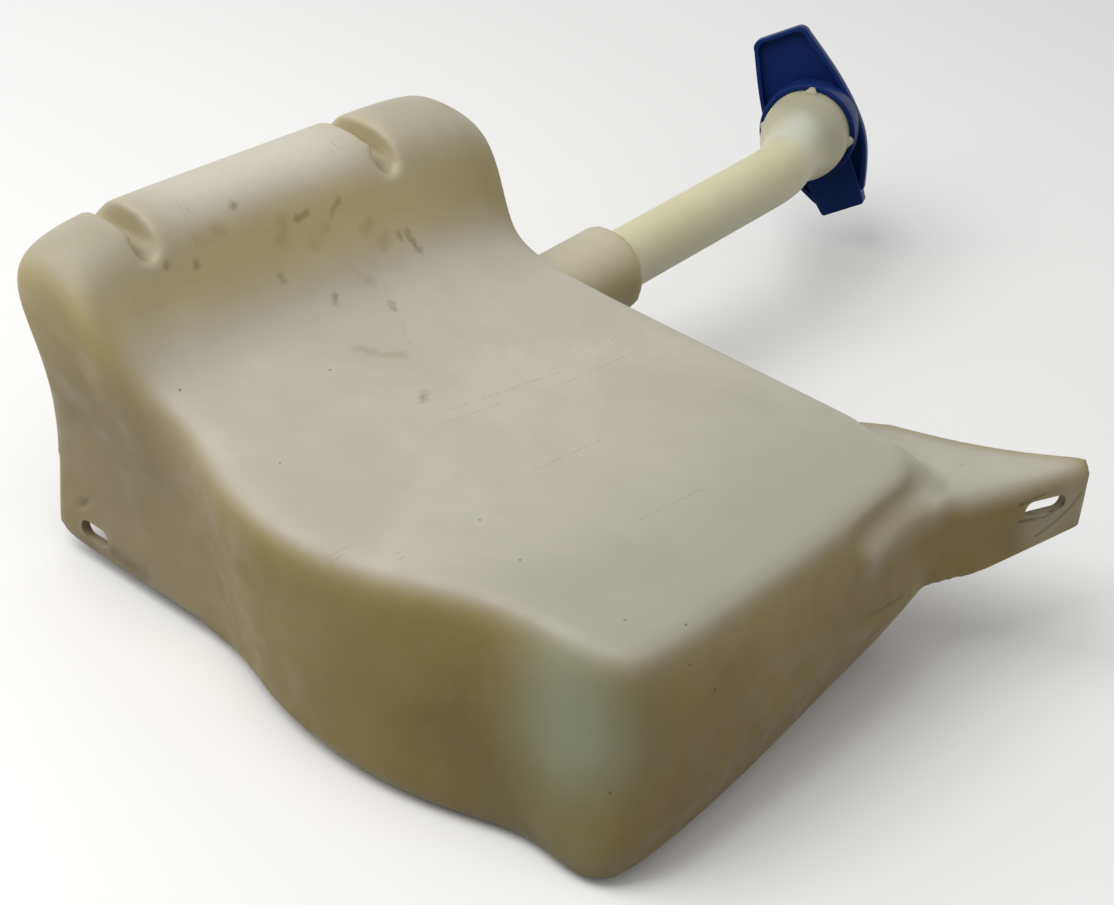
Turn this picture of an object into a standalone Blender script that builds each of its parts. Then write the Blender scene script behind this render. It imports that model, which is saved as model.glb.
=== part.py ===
"""Washer fluid reservoir: a blow-moulded tank on its flat underside, with a plug-in filler neck and a cap.

Frame: the origin is on the resting face, below the middle of the tank. +X points to the tank's front wall,
+Y along the filler neck and +Z up. Lengths are in metres.
"""

import math

import bmesh
import bpy
from mathutils import Matrix, Vector

# Tank: overall form
DECK_Z = 0.095            # height of the broad top face above the resting face
RIDGE_Z = 0.1530          # height of the ridge along the back
FRONT_X = 0.158           # top edge of the front wall
RIDGE_FOOT_X = -0.066     # where the top face begins to climb to the ridge
RIDGE_FRONT_X = -0.0985   # steep front face of the ridge
RIDGE_CREST_X = -0.1095   # front edge of the ridge's flat crest
BACK_X = -0.164           # back of the ridge
LOW_Y = -0.100            # shoulder of the long wall with the bulge
HIGH_Y = 0.116            # wall that carries the neck socket
WALL = 0.0026             # moulded wall thickness
CORNER_ROUND = 0.006      # how far the front wall's upright corners are drawn in
EDGE = 0.018              # spacing of the loops that round the tank's edges
SHOULDER = 0.026          # the same along the bulge, whose edge is softer
RIDGE_END_ROUND = 0.024   # spacing of the loops that round the ridge's two ends
RIDGE_LOW_OVERHANG = 0.021   # how far the ridge stands out past the low wall
RIDGE_HIGH_OVERHANG = 0.001  # and past the high wall
DRAFT = 0.011             # how far the walls spread from the top face down to the parting line
FRONT_SWEEP = 0.008       # how far the front wall's top edge runs back towards the ear
FRONT_HOLLOW = 0.0018     # how far the front wall's lower half is drawn in between its ends

# Tank: bulge of the low wall, and the recess between it and the front corner
BULGE = 0.031
BULGE_FRONT_X = 0.040
BULGE_BACK_X = -0.016
RECESS_X = FRONT_X - 0.072
CORNER_X = FRONT_X - 0.040

# Tank: underside
BACK_WALL_X = BACK_X + 0.015   # wall under the ridge's overhang
FRONT_TAPER = 0.036       # how far the front wall draws in below the parting line at the high end
PARTING_LOW_Z = 0.017     # parting line at the low corner
PARTING_HIGH_Z = 0.045    # parting line at the high corner

# Notches across the ridge
NOTCH_LOW_Y = -0.0785
NOTCH_HIGH_Y = 0.0585
NOTCH_FLOOR_W = 0.007
NOTCH_DEPTH = 0.0105
NOTCH_FRONT_X = RIDGE_CREST_X + 0.007
NOTCH_STEEP = math.radians(10)   # lean of the side nearer the neck
NOTCH_EASY = math.radians(44)    # lean of the other side

# Ear with the slotted hole, at the high front corner
EAR_TOP_Z = 0.080
EAR_BOTTOM_Z = 0.0450
EAR_TIP_RISE = 0.008      # how far the plate's lower edge climbs at the tip
EAR_WALL = 0.0045
EAR_ROOT_Y = 0.036
EAR_FLARE_Y = 0.084       # where the ear's front plate begins to flare out
EAR_PLATE_X = FRONT_X - 0.0045
EAR_TIP_X = FRONT_X + 0.0280
EAR_TIP_Y = 0.179
EAR_BACK_X = FRONT_X - 0.051
EAR_BACK_Y = 0.140
EAR_EDGE_R = 0.010
EAR_CHAMFER = 0.003       # across the tip's corner
EAR_TIP_ROUND = 0.011     # from the tip to where its lower corner begins
EAR_SLOT_LENGTH = 0.0225
EAR_SLOT_WIDTH = 0.0090
EAR_SLOT_Y = 0.1550
EAR_SLOT_Z = 0.0670

# Pump bay in the underside at the low back corner, and the flange that the low wall forms beside it
BAY_FRONT_X = -0.050
BAY_HIGH_Y = -0.016
BAY_Z = 0.0535
BAY_ROUND = 0.009
FLANGE_BACK_X = BACK_WALL_X + 0.001
FLANGE_BOTTOM_Z = 0.006
FLANGE_TOP_Z = 0.050
FLANGE_INNER_Y = -0.1000  # flat bolting face inside the bay
FLANGE_CORNER = 0.014
FLANGE_SLOT_LENGTH = 0.017
FLANGE_SLOT_WIDTH = 0.0085
FLANGE_SLOT_X = FLANGE_BACK_X + 0.030
FLANGE_SLOT_Z = 0.0165

# Socket and filler neck
NECK_X = -0.075
NECK_Z = 0.0634           # height of the neck's axis where it leaves the tank
NECK_RISE = math.radians(4.2)
PIPE_R = 0.0146
PIPE_WALL = 0.0020
SEAL_THICKNESS = 0.0022
SEAL_LENGTH = 0.014
SEAL_DEPTH = 0.006        # how far the seal lies inside the socket's mouth
SOCKET_WALL = 0.0036
SOCKET_LENGTH = 0.057
PIPE_INSERTION = 0.042
ELBOW_Y = 0.291
BEND_R = 0.050
MOUTH_R = 0.0226
MOUTH_RUN = 0.067         # from the end of the bend to the mouth's rim
FLARE_LENGTH = 0.056
MOUTH_AXIS = Vector((-0.402, 0.909, -0.112)).normalized()
CAP_LONG_AXIS = Vector((0.502, 0.116, -0.857))  # from the finger tab towards the hinge
LUG_COUNT = 4             # small barbs behind the mouth's rim
LUG_WIDTH = 0.0070
LUG_RISE = 0.0024
LUG_THICKNESS = 0.0030
LUG_TURN = math.radians(-152)

# Cap
GAP = 0.0003              # clearance between pieces that touch
COLLAR_WALL = 0.0026
COLLAR_OVERLAP = 0.005    # how far the collar reaches back over the mouth's rim
COLLAR_HEIGHT = 0.014
HINGE_REACH = 0.0413      # from the mouth's axis to the hinge line
HINGE_TAB_LENGTH = 0.0070 # collar tab beyond the hinge line
HINGE_TAB_W = 0.0255
TAB_WALL = 0.0024
LID_W = 0.0505            # across the mouth
LID_HINGE_W = 0.028
LID_HEIGHT = 0.0062
LID_WALL = 0.0020
LID_MIDDLE_X = 0.006
FINGER_REACH = 0.052
FINGER_W = 0.0312
FINGER_CORNER = 0.005
PLUG_DEPTH = 0.008
PLUG_WALL = 0.0018
PLUG_CLEARANCE = 0.0020

# Pump hole
PUMP_Y = -0.066
PUMP_Z = 0.026
PUMP_SEAT_R = 0.0170
PUMP_SEAT_RISE = 0.003
PUMP_HOLE_R = 0.0105
GROMMET_BORE_R = 0.0065
GROMMET_LIP = 0.0022
GROMMET_FLANGE_R = 0.0135
GROMMET_BACK_LIP = 0.0012

NATURAL = (0.52, 0.49, 0.37, 1.0)
BLUE = (0.012, 0.040, 0.150, 1.0)
RUBBER = (0.020, 0.020, 0.022, 1.0)


def clear_scene():
    for item in list(bpy.data.objects):
        bpy.data.objects.remove(item, do_unlink=True)


def new_collection(name):
    collection = bpy.data.collections.new(name)
    bpy.context.scene.collection.children.link(collection)
    return collection


def new_material(name, colour, roughness):
    material = bpy.data.materials.new(name)
    material.use_nodes = True
    shader = material.node_tree.nodes["Principled BSDF"]
    shader.inputs["Base Color"].default_value = colour
    shader.inputs["Roughness"].default_value = roughness
    shader.inputs["Metallic"].default_value = 0.0
    return material


def mix(a, b, share):
    return a + (b - a) * share


class Workshop:
    """Holds the two collections and makes objects in them."""

    def __init__(self, name):
        self.parts = new_collection(name)
        self.cutters = new_collection(name + "_cutters")

    def part(self, name, mesh, material):
        item = bpy.data.objects.new(name, mesh)
        item.data.materials.append(material)
        self.parts.objects.link(item)
        return item

    def cutter(self, name, mesh):
        item = bpy.data.objects.new(name, mesh)
        item.hide_render = True
        item.display_type = "WIRE"
        self.cutters.objects.link(item)
        return item

    def empty(self, name, matrix):
        item = bpy.data.objects.new(name, None)
        item.matrix_world = matrix
        self.parts.objects.link(item)
        return item


def mesh_from(bm, name, sharp=True):
    """Finished mesh with its faces pointing out and, unless it is a soft form, its edges sharp."""
    bmesh.ops.recalc_face_normals(bm, faces=bm.faces)
    if bm.calc_volume(signed=True) < 0:
        bmesh.ops.reverse_faces(bm, faces=bm.faces)
    mesh = bpy.data.meshes.new(name)
    bm.to_mesh(mesh)
    bm.free()
    mesh.shade_smooth()
    if sharp:
        mesh.set_sharp_from_angle(angle=math.radians(35))
    return mesh


def combine(target, other, operation):
    modifier = target.modifiers.new(operation.lower() + "_" + other.name, "BOOLEAN")
    modifier.operation = operation
    modifier.solver = "EXACT"
    modifier.object = other


def soften(item, levels):
    modifier = item.modifiers.new("soft form", "SUBSURF")
    modifier.levels = levels
    modifier.render_levels = levels


def prism(name, outline, low, high, bevel=0.0, segments=3):
    """Upright prism over a plan outline, with its vertical edges rounded."""
    bm = bmesh.new()
    base = [bm.verts.new((x, y, low)) for x, y in outline]
    face = bm.faces.new(base)
    result = bmesh.ops.extrude_face_region(bm, geom=[face])
    raised = [v for v in result["geom"] if isinstance(v, bmesh.types.BMVert)]
    bmesh.ops.translate(bm, verts=raised, vec=(0, 0, high - low))
    if bevel:
        upright = [e for e in bm.edges if abs(e.verts[0].co.z - e.verts[1].co.z) > (high - low) / 2]
        bmesh.ops.bevel(bm, geom=upright, offset=bevel, segments=segments, profile=0.5, affect="EDGES")
    return mesh_from(bm, name)


def cylinder(name, radius, low, high, segments=32):
    bm = bmesh.new()
    bmesh.ops.create_cone(bm, cap_ends=True, segments=segments, radius1=radius, radius2=radius,
                          depth=high - low)
    bmesh.ops.translate(bm, verts=bm.verts, vec=(0, 0, (low + high) / 2))
    return mesh_from(bm, name)


def slot_outline(length, width, steps=8):
    """Stadium outline: two half circles joined by straight sides."""
    radius = width / 2
    reach = length / 2 - radius
    points = []
    for side, start in ((1, -90), (-1, 90)):
        for i in range(steps + 1):
            angle = math.radians(start + 180 * i / steps)
            points.append((side * reach + radius * math.cos(angle), radius * math.sin(angle)))
    return points


def profile_mesh(name, profile):
    """Closed wire of (radius, height) points, run down its outer side first."""
    mesh = bpy.data.meshes.new(name)
    count = len(profile)
    mesh.from_pydata([(radius, 0.0, height) for radius, height in profile],
                     [(i, (i + 1) % count) for i in range(count)], [])
    return mesh


def turn(item, segments):
    """Turns a profile about the item's Z axis."""
    modifier = item.modifiers.new("turned", "SCREW")
    modifier.steps = segments
    modifier.render_steps = segments
    modifier.use_merge_vertices = True
    modifier.merge_threshold = 0.00001


def parting_z(share):
    """Height of the parting line along the front wall, from the low end (0) to the high end (1)."""
    climb = min(1.0, max(0.0, (share - 0.05) / 0.60))
    return mix(PARTING_LOW_Z, PARTING_HIGH_Z, math.sin(climb * math.pi / 2))


def top_line():
    """Cage stations along the top, front to back: position, height and low-wall shoulder."""
    crest_z = RIDGE_Z + 0.001
    return [
        (FRONT_X, DECK_Z, LOW_Y + 0.010),
        (FRONT_X - EDGE - 0.004, DECK_Z, LOW_Y + 0.001),
        (CORNER_X, DECK_Z, LOW_Y + 0.001),
        (RECESS_X, DECK_Z, LOW_Y - 0.002),
        (BULGE_FRONT_X, DECK_Z, LOW_Y - BULGE),
        (BULGE_BACK_X, DECK_Z, LOW_Y - BULGE),
        (RIDGE_FOOT_X, DECK_Z + 0.001, LOW_Y - 0.004),
        (RIDGE_FOOT_X - 0.024, DECK_Z + 0.009, LOW_Y - 0.001),
        (RIDGE_FRONT_X, DECK_Z + 0.032, LOW_Y - 0.003),
        (RIDGE_CREST_X + 0.0045, RIDGE_Z - 0.0055, LOW_Y - 0.004),
        (RIDGE_CREST_X - 0.0045, crest_z, LOW_Y - 0.004),
        (BACK_X + 0.017, crest_z, LOW_Y - 0.004),
        (BACK_X, RIDGE_Z - 0.009, LOW_Y),
    ]


def bottom_line():
    """Cage stations along the underside, front to back: position and low wall."""
    middle = mix(FRONT_X, BACK_WALL_X, 0.5)
    return [
        (FRONT_X, LOW_Y - 0.008),
        (FRONT_X - EDGE, LOW_Y - 0.009),
        (CORNER_X + 0.004, LOW_Y - 0.005),
        (RECESS_X + 0.004, LOW_Y - DRAFT - 0.009),
        (BULGE_FRONT_X + 0.012, LOW_Y - BULGE + 0.004),
        (middle, LOW_Y - DRAFT - 0.010),
        (mix(middle, BACK_WALL_X, 0.20), LOW_Y - 0.007),
        (mix(middle, BACK_WALL_X, 0.38), LOW_Y - 0.005),
        (mix(middle, BACK_WALL_X, 0.54), LOW_Y - 0.005),
        (mix(middle, BACK_WALL_X, 0.64), LOW_Y - 0.005),
        (mix(middle, BACK_WALL_X, 0.74), LOW_Y - 0.005),
        (BACK_WALL_X + EDGE, LOW_Y - 0.005),
        (BACK_WALL_X, LOW_Y - 0.003),
    ]


def tank_cage(name, inset):
    """Box-like cage of quads over the tank's form; inset moves every face inwards by the wall."""
    top = top_line()
    bottom = bottom_line()
    across = [0.0, 0.12, 0.30, 0.50, 0.70, 0.88, 1.0]
    levels = 4
    last_i, last_j = len(top) - 1, len(across) - 1

    lean = [0.0, 0.10, 0.45, 0.84, 1.0]

    def place(i, j, k):
        share = across[j]
        top_x, top_z, low_top = top[i]
        bottom_x, low_bottom = bottom[i]
        on_ridge = max(0.0, min(1.0, (top_z - DECK_Z) / (RIDGE_Z - DECK_Z)))
        soft = SHOULDER if i in (4, 5, 6) and j < 2 else EDGE
        side = mix(soft, RIDGE_END_ROUND, on_ridge)
        upper = top_z - mix(soft, RIDGE_END_ROUND, on_ridge)
        z = [0.0, EDGE, upper * mix(0.5, 0.62, on_ridge), upper, top_z][k]
        x = mix(bottom_x, top_x, lean[k])
        if i == last_i:
            x = [BACK_WALL_X, BACK_WALL_X, BACK_WALL_X, BACK_X, BACK_X + 0.010][k]
        low_wall = mix(low_bottom, low_top, lean[k])
        high_wall = HIGH_Y + DRAFT * 0.5 * (1 - abs(2 * lean[k] - 1))
        y = {0: low_wall, 1: low_wall + side, last_j - 1: high_wall - side, last_j: high_wall}.get(
            j, mix(LOW_Y, HIGH_Y, share))
        end = j in (0, last_j)
        if end:
            outward = 1 if j else -1
            overhang = RIDGE_HIGH_OVERHANG if j else RIDGE_LOW_OVERHANG
            y += outward * on_ridge * overhang * [0.0, 0.0, 0.0, 1.0, 0.6][k]
            z -= on_ridge * RIDGE_END_ROUND * [0.0, 0.0, 0.0, 0.0, 0.20][k]
        if i < 2:
            x -= FRONT_SWEEP * share * share * [0.0, 0.0, 0.0, 0.0, 1.0][k] * [1.0, 0.6][i]
        draw = FRONT_TAPER * share * share * [1.0, 0.65, 0.0, 0.0, 0.0][k]
        x -= draw * [1.0, 1.0, 0.5][i] if i < 3 else 0.0
        if i == 0 and k < levels:
            line = parting_z(share)
            at_parting = DRAFT + 0.004 - 0.014 * share ** 2
            upper_wall = 0.004 - 0.006 * share - 0.7 * FRONT_SWEEP * share * share
            hollow = FRONT_HOLLOW * 4 * share * (1 - share) * [1.0, 1.0, 0.6, 0.0][k]
            x = FRONT_X + [0.008, DRAFT + 0.002, at_parting, upper_wall][k] - draw - hollow
            z = [0.0, line * 0.45, line, DECK_Z - EDGE][k]
            if end:
                x -= CORNER_ROUND
        return Vector((x, y, z))

    bm = bmesh.new()
    verts = {}

    def vert(i, j, k):
        key = (i, j, k)
        if key not in verts:
            verts[key] = bm.verts.new(place(i, j, k))
        return verts[key]

    def quad(corners):
        bm.faces.new([vert(*corner) for corner in corners])

    for i in range(last_i):
        for j in range(last_j):
            quad([(i, j, levels), (i, j + 1, levels), (i + 1, j + 1, levels), (i + 1, j, levels)])
            quad([(i, j, 0), (i + 1, j, 0), (i + 1, j + 1, 0), (i, j + 1, 0)])
        for k in range(levels):
            quad([(i, 0, k), (i, 0, k + 1), (i + 1, 0, k + 1), (i + 1, 0, k)])
            quad([(i, last_j, k), (i + 1, last_j, k), (i + 1, last_j, k + 1), (i, last_j, k + 1)])
    for j in range(last_j):
        for k in range(levels):
            quad([(0, j, k), (0, j + 1, k), (0, j + 1, k + 1), (0, j, k + 1)])
            quad([(last_i, j, k), (last_i, j, k + 1), (last_i, j + 1, k + 1), (last_i, j + 1, k)])

    bmesh.ops.recalc_face_normals(bm, faces=bm.faces)
    crease = bm.edges.layers.float.new("crease_edge")
    for j in range(last_j):
        edge = bm.edges.get((verts[(0, j, 2)], verts[(0, j + 1, 2)]))
        edge[crease] = 0.7
    if inset:
        bm.normal_update()
        moves = [(v, v.normal * v.calc_shell_factor() * inset) for v in bm.verts]
        for v, move in moves:
            v.co -= move
    return mesh_from(bm, name, sharp=False)


def notch_mesh(name, y, grow):
    """Groove across the ridge's crest, with one steep and one easy side and a rounded front end."""
    above = 0.014
    floor = -NOTCH_DEPTH - grow
    easy = -NOTCH_FLOOR_W / 2 - grow
    steep = NOTCH_FLOOR_W / 2 + grow
    rise = above - floor
    outline = [
        (easy - rise * math.tan(NOTCH_EASY), above),
        (easy, floor),
        (steep, floor),
        (steep + rise * math.tan(NOTCH_STEEP), above),
    ]
    front = NOTCH_FRONT_X + grow
    back = BACK_X - 0.03
    bm = bmesh.new()
    face = bm.faces.new([bm.verts.new((back, y + u, RIDGE_Z + v)) for u, v in outline])
    result = bmesh.ops.extrude_face_region(bm, geom=[face])
    moved = [v for v in result["geom"] if isinstance(v, bmesh.types.BMVert)]
    bmesh.ops.translate(bm, verts=moved, vec=(front - back, 0, 0))
    rounded = [e for e in bm.edges if min(v.co.z for v in e.verts) < RIDGE_Z
               and max(v.co.x for v in e.verts) > front - 1e-6]
    bmesh.ops.bevel(bm, geom=rounded, offset=NOTCH_FLOOR_W * 0.45 + grow / 2, segments=3, profile=0.5,
                    affect="EDGES")
    return mesh_from(bm, name)


def ear_direction():
    """Unit vector along the flared part of the ear's front plate."""
    return Vector((EAR_TIP_X - EAR_PLATE_X, EAR_TIP_Y - EAR_CHAMFER - EAR_FLARE_Y, 0)).normalized()


def ear_mesh(name):
    """Shelf and front plate: a prism over the ear's plan, with the rim above the plate rounded."""
    corner = Vector((EAR_TIP_X, EAR_TIP_Y - EAR_CHAMFER, 0)) - ear_direction() * EAR_TIP_ROUND
    outline = [
        (FRONT_X - 0.040, EAR_ROOT_Y),
        (FRONT_X - 0.004, EAR_ROOT_Y),
        (EAR_PLATE_X, EAR_FLARE_Y),
        (corner.x, corner.y),
        (EAR_TIP_X, EAR_TIP_Y - EAR_CHAMFER),
        (EAR_TIP_X - 2 * EAR_CHAMFER, EAR_TIP_Y),
        (EAR_BACK_X, EAR_BACK_Y),
        (EAR_BACK_X - 0.045, HIGH_Y - 0.012),
    ]
    bm = bmesh.new()
    base = [bm.verts.new((x, y, EAR_BOTTOM_Z)) for x, y in outline]
    face = bm.faces.new(base)
    result = bmesh.ops.extrude_face_region(bm, geom=[face])
    raised = [v for v in result["geom"] if isinstance(v, bmesh.types.BMVert)]
    bmesh.ops.translate(bm, verts=raised, vec=(0, 0, EAR_TOP_Z - EAR_BOTTOM_Z))
    base[3].co.z += EAR_TIP_RISE * 0.3
    for vertex in base[4:6]:
        vertex.co.z += EAR_TIP_RISE
    rim = [e for e in bm.edges
           if all(v.co.z > EAR_TOP_Z - 1e-5 for v in e.verts)
           and all(v.co.x > EAR_PLATE_X - 0.001 for v in e.verts)
           and any(v.co.y < EAR_TIP_Y - 2 * EAR_CHAMFER for v in e.verts)]
    bmesh.ops.bevel(bm, geom=rim, offset=EAR_EDGE_R, segments=4, profile=0.5, affect="EDGES")
    return mesh_from(bm, name)


def ear_hollow_mesh(name):
    """What is taken out behind the ear's plate and below its shelf."""
    along = ear_direction()
    normal = Vector((along.y, -along.x, 0))
    tip = Vector((EAR_TIP_X, EAR_TIP_Y - EAR_CHAMFER, 0)) - normal * EAR_WALL + along * 0.03
    knee = Vector((EAR_PLATE_X - EAR_WALL, EAR_FLARE_Y + 0.001, 0))
    outline = [
        (knee.x - 0.001, HIGH_Y + 0.0),
        (mix(knee.x, tip.x, (HIGH_Y - knee.y) / (tip.y - knee.y)), HIGH_Y),
        (tip.x, tip.y),
        (EAR_BACK_X - 0.06, tip.y),
        (EAR_BACK_X - 0.06, HIGH_Y),
    ]
    return prism(name, outline, EAR_BOTTOM_Z - 0.02, EAR_TOP_Z - EAR_WALL)


def ear_slot_matrix():
    along = ear_direction()
    normal = Vector((along.y, -along.x, 0))
    share = (EAR_SLOT_Y - EAR_FLARE_Y) / (EAR_TIP_Y - EAR_CHAMFER - EAR_FLARE_Y)
    centre = Vector((mix(EAR_PLATE_X, EAR_TIP_X, share), EAR_SLOT_Y, EAR_SLOT_Z))
    turn = Matrix((along, Vector((0, 0, 1)), normal)).transposed().to_4x4()
    return Matrix.Translation(centre) @ turn


def bay_mesh(name, grow):
    """Rounded block that clears the pump bay, open at the back and below."""
    low_y = FLANGE_INNER_Y if not grow else FLANGE_INNER_Y - 0.05
    size = Vector((BAY_FRONT_X + grow + 0.220, BAY_HIGH_Y + grow - low_y, BAY_Z + grow + 0.040))
    centre = Vector((BAY_FRONT_X + grow, BAY_HIGH_Y + grow, BAY_Z + grow)) - size / 2
    bm = bmesh.new()
    bmesh.ops.create_cube(bm, size=1.0, matrix=Matrix.Translation(centre) @ Matrix.Diagonal((*size, 1.0)))
    bmesh.ops.bevel(bm, geom=list(bm.edges), offset=BAY_ROUND, segments=3, profile=0.5, affect="EDGES")
    return mesh_from(bm, name)


def flange_trim_mesh(name):
    """What is cut away behind and below the flange, leaving its corner round."""
    far = 0.05
    inner_x = FLANGE_BACK_X + FLANGE_CORNER
    inner_z = FLANGE_BOTTOM_Z + FLANGE_CORNER
    outline = [(FLANGE_BACK_X - far, FLANGE_TOP_Z), (FLANGE_BACK_X, FLANGE_TOP_Z)]
    for i in range(5):
        angle = math.radians(180 + 90 * i / 4)
        outline.append((inner_x + FLANGE_CORNER * math.cos(angle), inner_z + FLANGE_CORNER * math.sin(angle)))
    front_x = BAY_FRONT_X - 0.001
    outline += [(front_x, FLANGE_BOTTOM_Z), (front_x, -far), (FLANGE_BACK_X - far, -far)]
    low_y = LOW_Y - BULGE - far
    bm = bmesh.new()
    face = bm.faces.new([bm.verts.new((x, low_y, z)) for x, z in outline])
    result = bmesh.ops.extrude_face_region(bm, geom=[face])
    moved = [v for v in result["geom"] if isinstance(v, bmesh.types.BMVert)]
    bmesh.ops.translate(bm, verts=moved, vec=(0, FLANGE_INNER_Y + BAY_ROUND - low_y, 0))
    return mesh_from(bm, name)


def neck_direction():
    return Vector((0, math.cos(NECK_RISE), math.sin(NECK_RISE)))


def neck_point(y):
    """Point on the straight neck's axis."""
    return Vector((NECK_X, y, NECK_Z + (y - HIGH_Y) * math.tan(NECK_RISE)))


def neck_frame(y):
    """Frame on the straight neck's axis, with Z along it."""
    along = neck_direction()
    side = Vector((1, 0, 0))
    turn = Matrix((side, along.cross(side), along)).transposed().to_4x4()
    return Matrix.Translation(neck_point(y)) @ turn


def neck_path():
    """Axis of the filler neck, with the radius at each point: straight run, bend, run to the mouth."""
    start = neck_point(HIGH_Y + SOCKET_LENGTH - PIPE_INSERTION)
    along = neck_direction()
    turn = along.angle(MOUTH_AXIS)
    hinge = along.cross(MOUTH_AXIS).normalized()
    inward = hinge.cross(along)
    elbow = neck_point(ELBOW_Y)
    points = [(start, PIPE_R), (mix(start, elbow, 0.5), PIPE_R)]
    steps = 4
    for i in range(steps + 1):
        angle = turn * i / steps
        offset = along * math.sin(angle) * BEND_R + inward * (1 - math.cos(angle)) * BEND_R
        points.append((elbow + offset, PIPE_R))
    bend_end = points[-1][0]
    mouth = bend_end + MOUTH_AXIS * MOUTH_RUN
    flare_start = MOUTH_RUN - FLARE_LENGTH
    flare_steps = 6
    for i in range(flare_steps + 1):
        share = i / flare_steps
        swell = (1 - math.cos(share * math.pi)) / 2
        points.append((bend_end + MOUTH_AXIS * (flare_start + (FLARE_LENGTH - 0.010) * share),
                       mix(PIPE_R, MOUTH_R, swell)))
    points.append((mouth, MOUTH_R))
    return points, mouth


def mouth_frame():
    """Frame at the mouth's centre: Z out of the mouth, X towards the cap's hinge."""
    _, mouth = neck_path()
    out = MOUTH_AXIS
    towards_hinge = (CAP_LONG_AXIS - out * CAP_LONG_AXIS.dot(out)).normalized()
    turn = Matrix((towards_hinge, out.cross(towards_hinge), out)).transposed().to_4x4()
    return Matrix.Translation(mouth) @ turn


def swept_mesh(name, points):
    """Round bar along a path with its own radius at each point, as a closed mesh."""
    curve = bpy.data.curves.new(name, "CURVE")
    curve.dimensions = "3D"
    curve.bevel_depth = 1.0
    curve.bevel_resolution = 10
    curve.use_fill_caps = True
    spline = curve.splines.new("POLY")
    spline.points.add(len(points) - 1)
    for slot, (position, radius) in zip(spline.points, points):
        slot.co = (*position, 1.0)
        slot.radius = radius
    item = bpy.data.objects.new(name, curve)
    bpy.context.scene.collection.objects.link(item)
    bpy.context.view_layer.update()
    evaluated = item.evaluated_get(bpy.context.evaluated_depsgraph_get())
    mesh = bpy.data.meshes.new_from_object(evaluated)
    bm = bmesh.new()
    bm.from_mesh(mesh)
    bmesh.ops.remove_doubles(bm, verts=bm.verts, dist=1e-6)
    bpy.data.objects.remove(item, do_unlink=True)
    bpy.data.meshes.remove(mesh)
    return mesh_from(bm, name)


def lengthened(points, start, end):
    """The same path, run on past both ends."""
    first = points[0][0] - (points[1][0] - points[0][0]).normalized() * start
    last = points[-1][0] + (points[-1][0] - points[-2][0]).normalized() * end
    return [(first, points[0][1])] + points + [(last, points[-1][1])]


def build_tank(shop, material):
    tank = shop.part("tank", tank_cage("tank", 0.0), material)
    soften(tank, 1)
    cavity = shop.cutter("cavity", tank_cage("cavity", WALL))
    soften(cavity, 1)

    ear = shop.cutter("ear", ear_mesh("ear"))
    combine(ear, shop.cutter("ear_hollow", ear_hollow_mesh("ear_hollow")), "DIFFERENCE")
    combine(tank, ear, "UNION")
    combine(tank, shop.cutter("pump_bay", bay_mesh("pump_bay", 0.0)), "DIFFERENCE")
    combine(tank, shop.cutter("flange_trim", flange_trim_mesh("flange_trim")), "DIFFERENCE")

    bore_r = PIPE_R + SEAL_THICKNESS + 2 * GAP
    socket_r = bore_r + SOCKET_WALL
    socket = shop.cutter("socket", cylinder("socket", socket_r, -0.012, SOCKET_LENGTH))
    socket.matrix_world = neck_frame(HIGH_Y)
    combine(tank, socket, "UNION")

    seat_turn = Matrix.Rotation(-math.pi / 2, 4, "Y")
    seat_frame = Matrix.Translation((BAY_FRONT_X, PUMP_Y, PUMP_Z)) @ seat_turn
    seat = shop.cutter("pump_seat", cylinder("pump_seat", PUMP_SEAT_R, -0.004, PUMP_SEAT_RISE))
    seat.matrix_world = seat_frame
    combine(tank, seat, "UNION")

    combine(cavity, shop.cutter("bay_lining", bay_mesh("bay_lining", WALL)), "DIFFERENCE")
    notches = {"low": NOTCH_LOW_Y, "high": NOTCH_HIGH_Y}
    for end, y in notches.items():
        combine(tank, shop.cutter(end + "_notch", notch_mesh("notch", y, 0.0)), "DIFFERENCE")
        combine(cavity, shop.cutter(end + "_notch_lining", notch_mesh("notch_lining", y, WALL)), "DIFFERENCE")
    combine(tank, cavity, "DIFFERENCE")

    socket_bore = shop.cutter("socket_bore", cylinder("socket_bore", bore_r, -0.020, SOCKET_LENGTH + 0.010))
    socket_bore.matrix_world = neck_frame(HIGH_Y)
    combine(tank, socket_bore, "DIFFERENCE")

    pump_bore = shop.cutter("pump_bore", cylinder("pump_bore", PUMP_HOLE_R, -0.020, 0.020))
    pump_bore.matrix_world = seat_frame
    combine(tank, pump_bore, "DIFFERENCE")

    ear_slot = shop.cutter("ear_slot", prism("ear_slot", slot_outline(EAR_SLOT_LENGTH, EAR_SLOT_WIDTH),
                                             -0.02, 0.02))
    ear_slot.matrix_world = ear_slot_matrix()
    combine(tank, ear_slot, "DIFFERENCE")

    flange_slot = shop.cutter("flange_slot", prism("flange_slot",
                                                   slot_outline(FLANGE_SLOT_LENGTH, FLANGE_SLOT_WIDTH),
                                                   -0.02, 0.02))
    flange_slot.matrix_world = (Matrix.Translation((FLANGE_SLOT_X, FLANGE_INNER_Y, FLANGE_SLOT_Z))
                                @ Matrix.Rotation(math.pi / 2, 4, "X"))
    combine(tank, flange_slot, "DIFFERENCE")
    return tank


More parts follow.
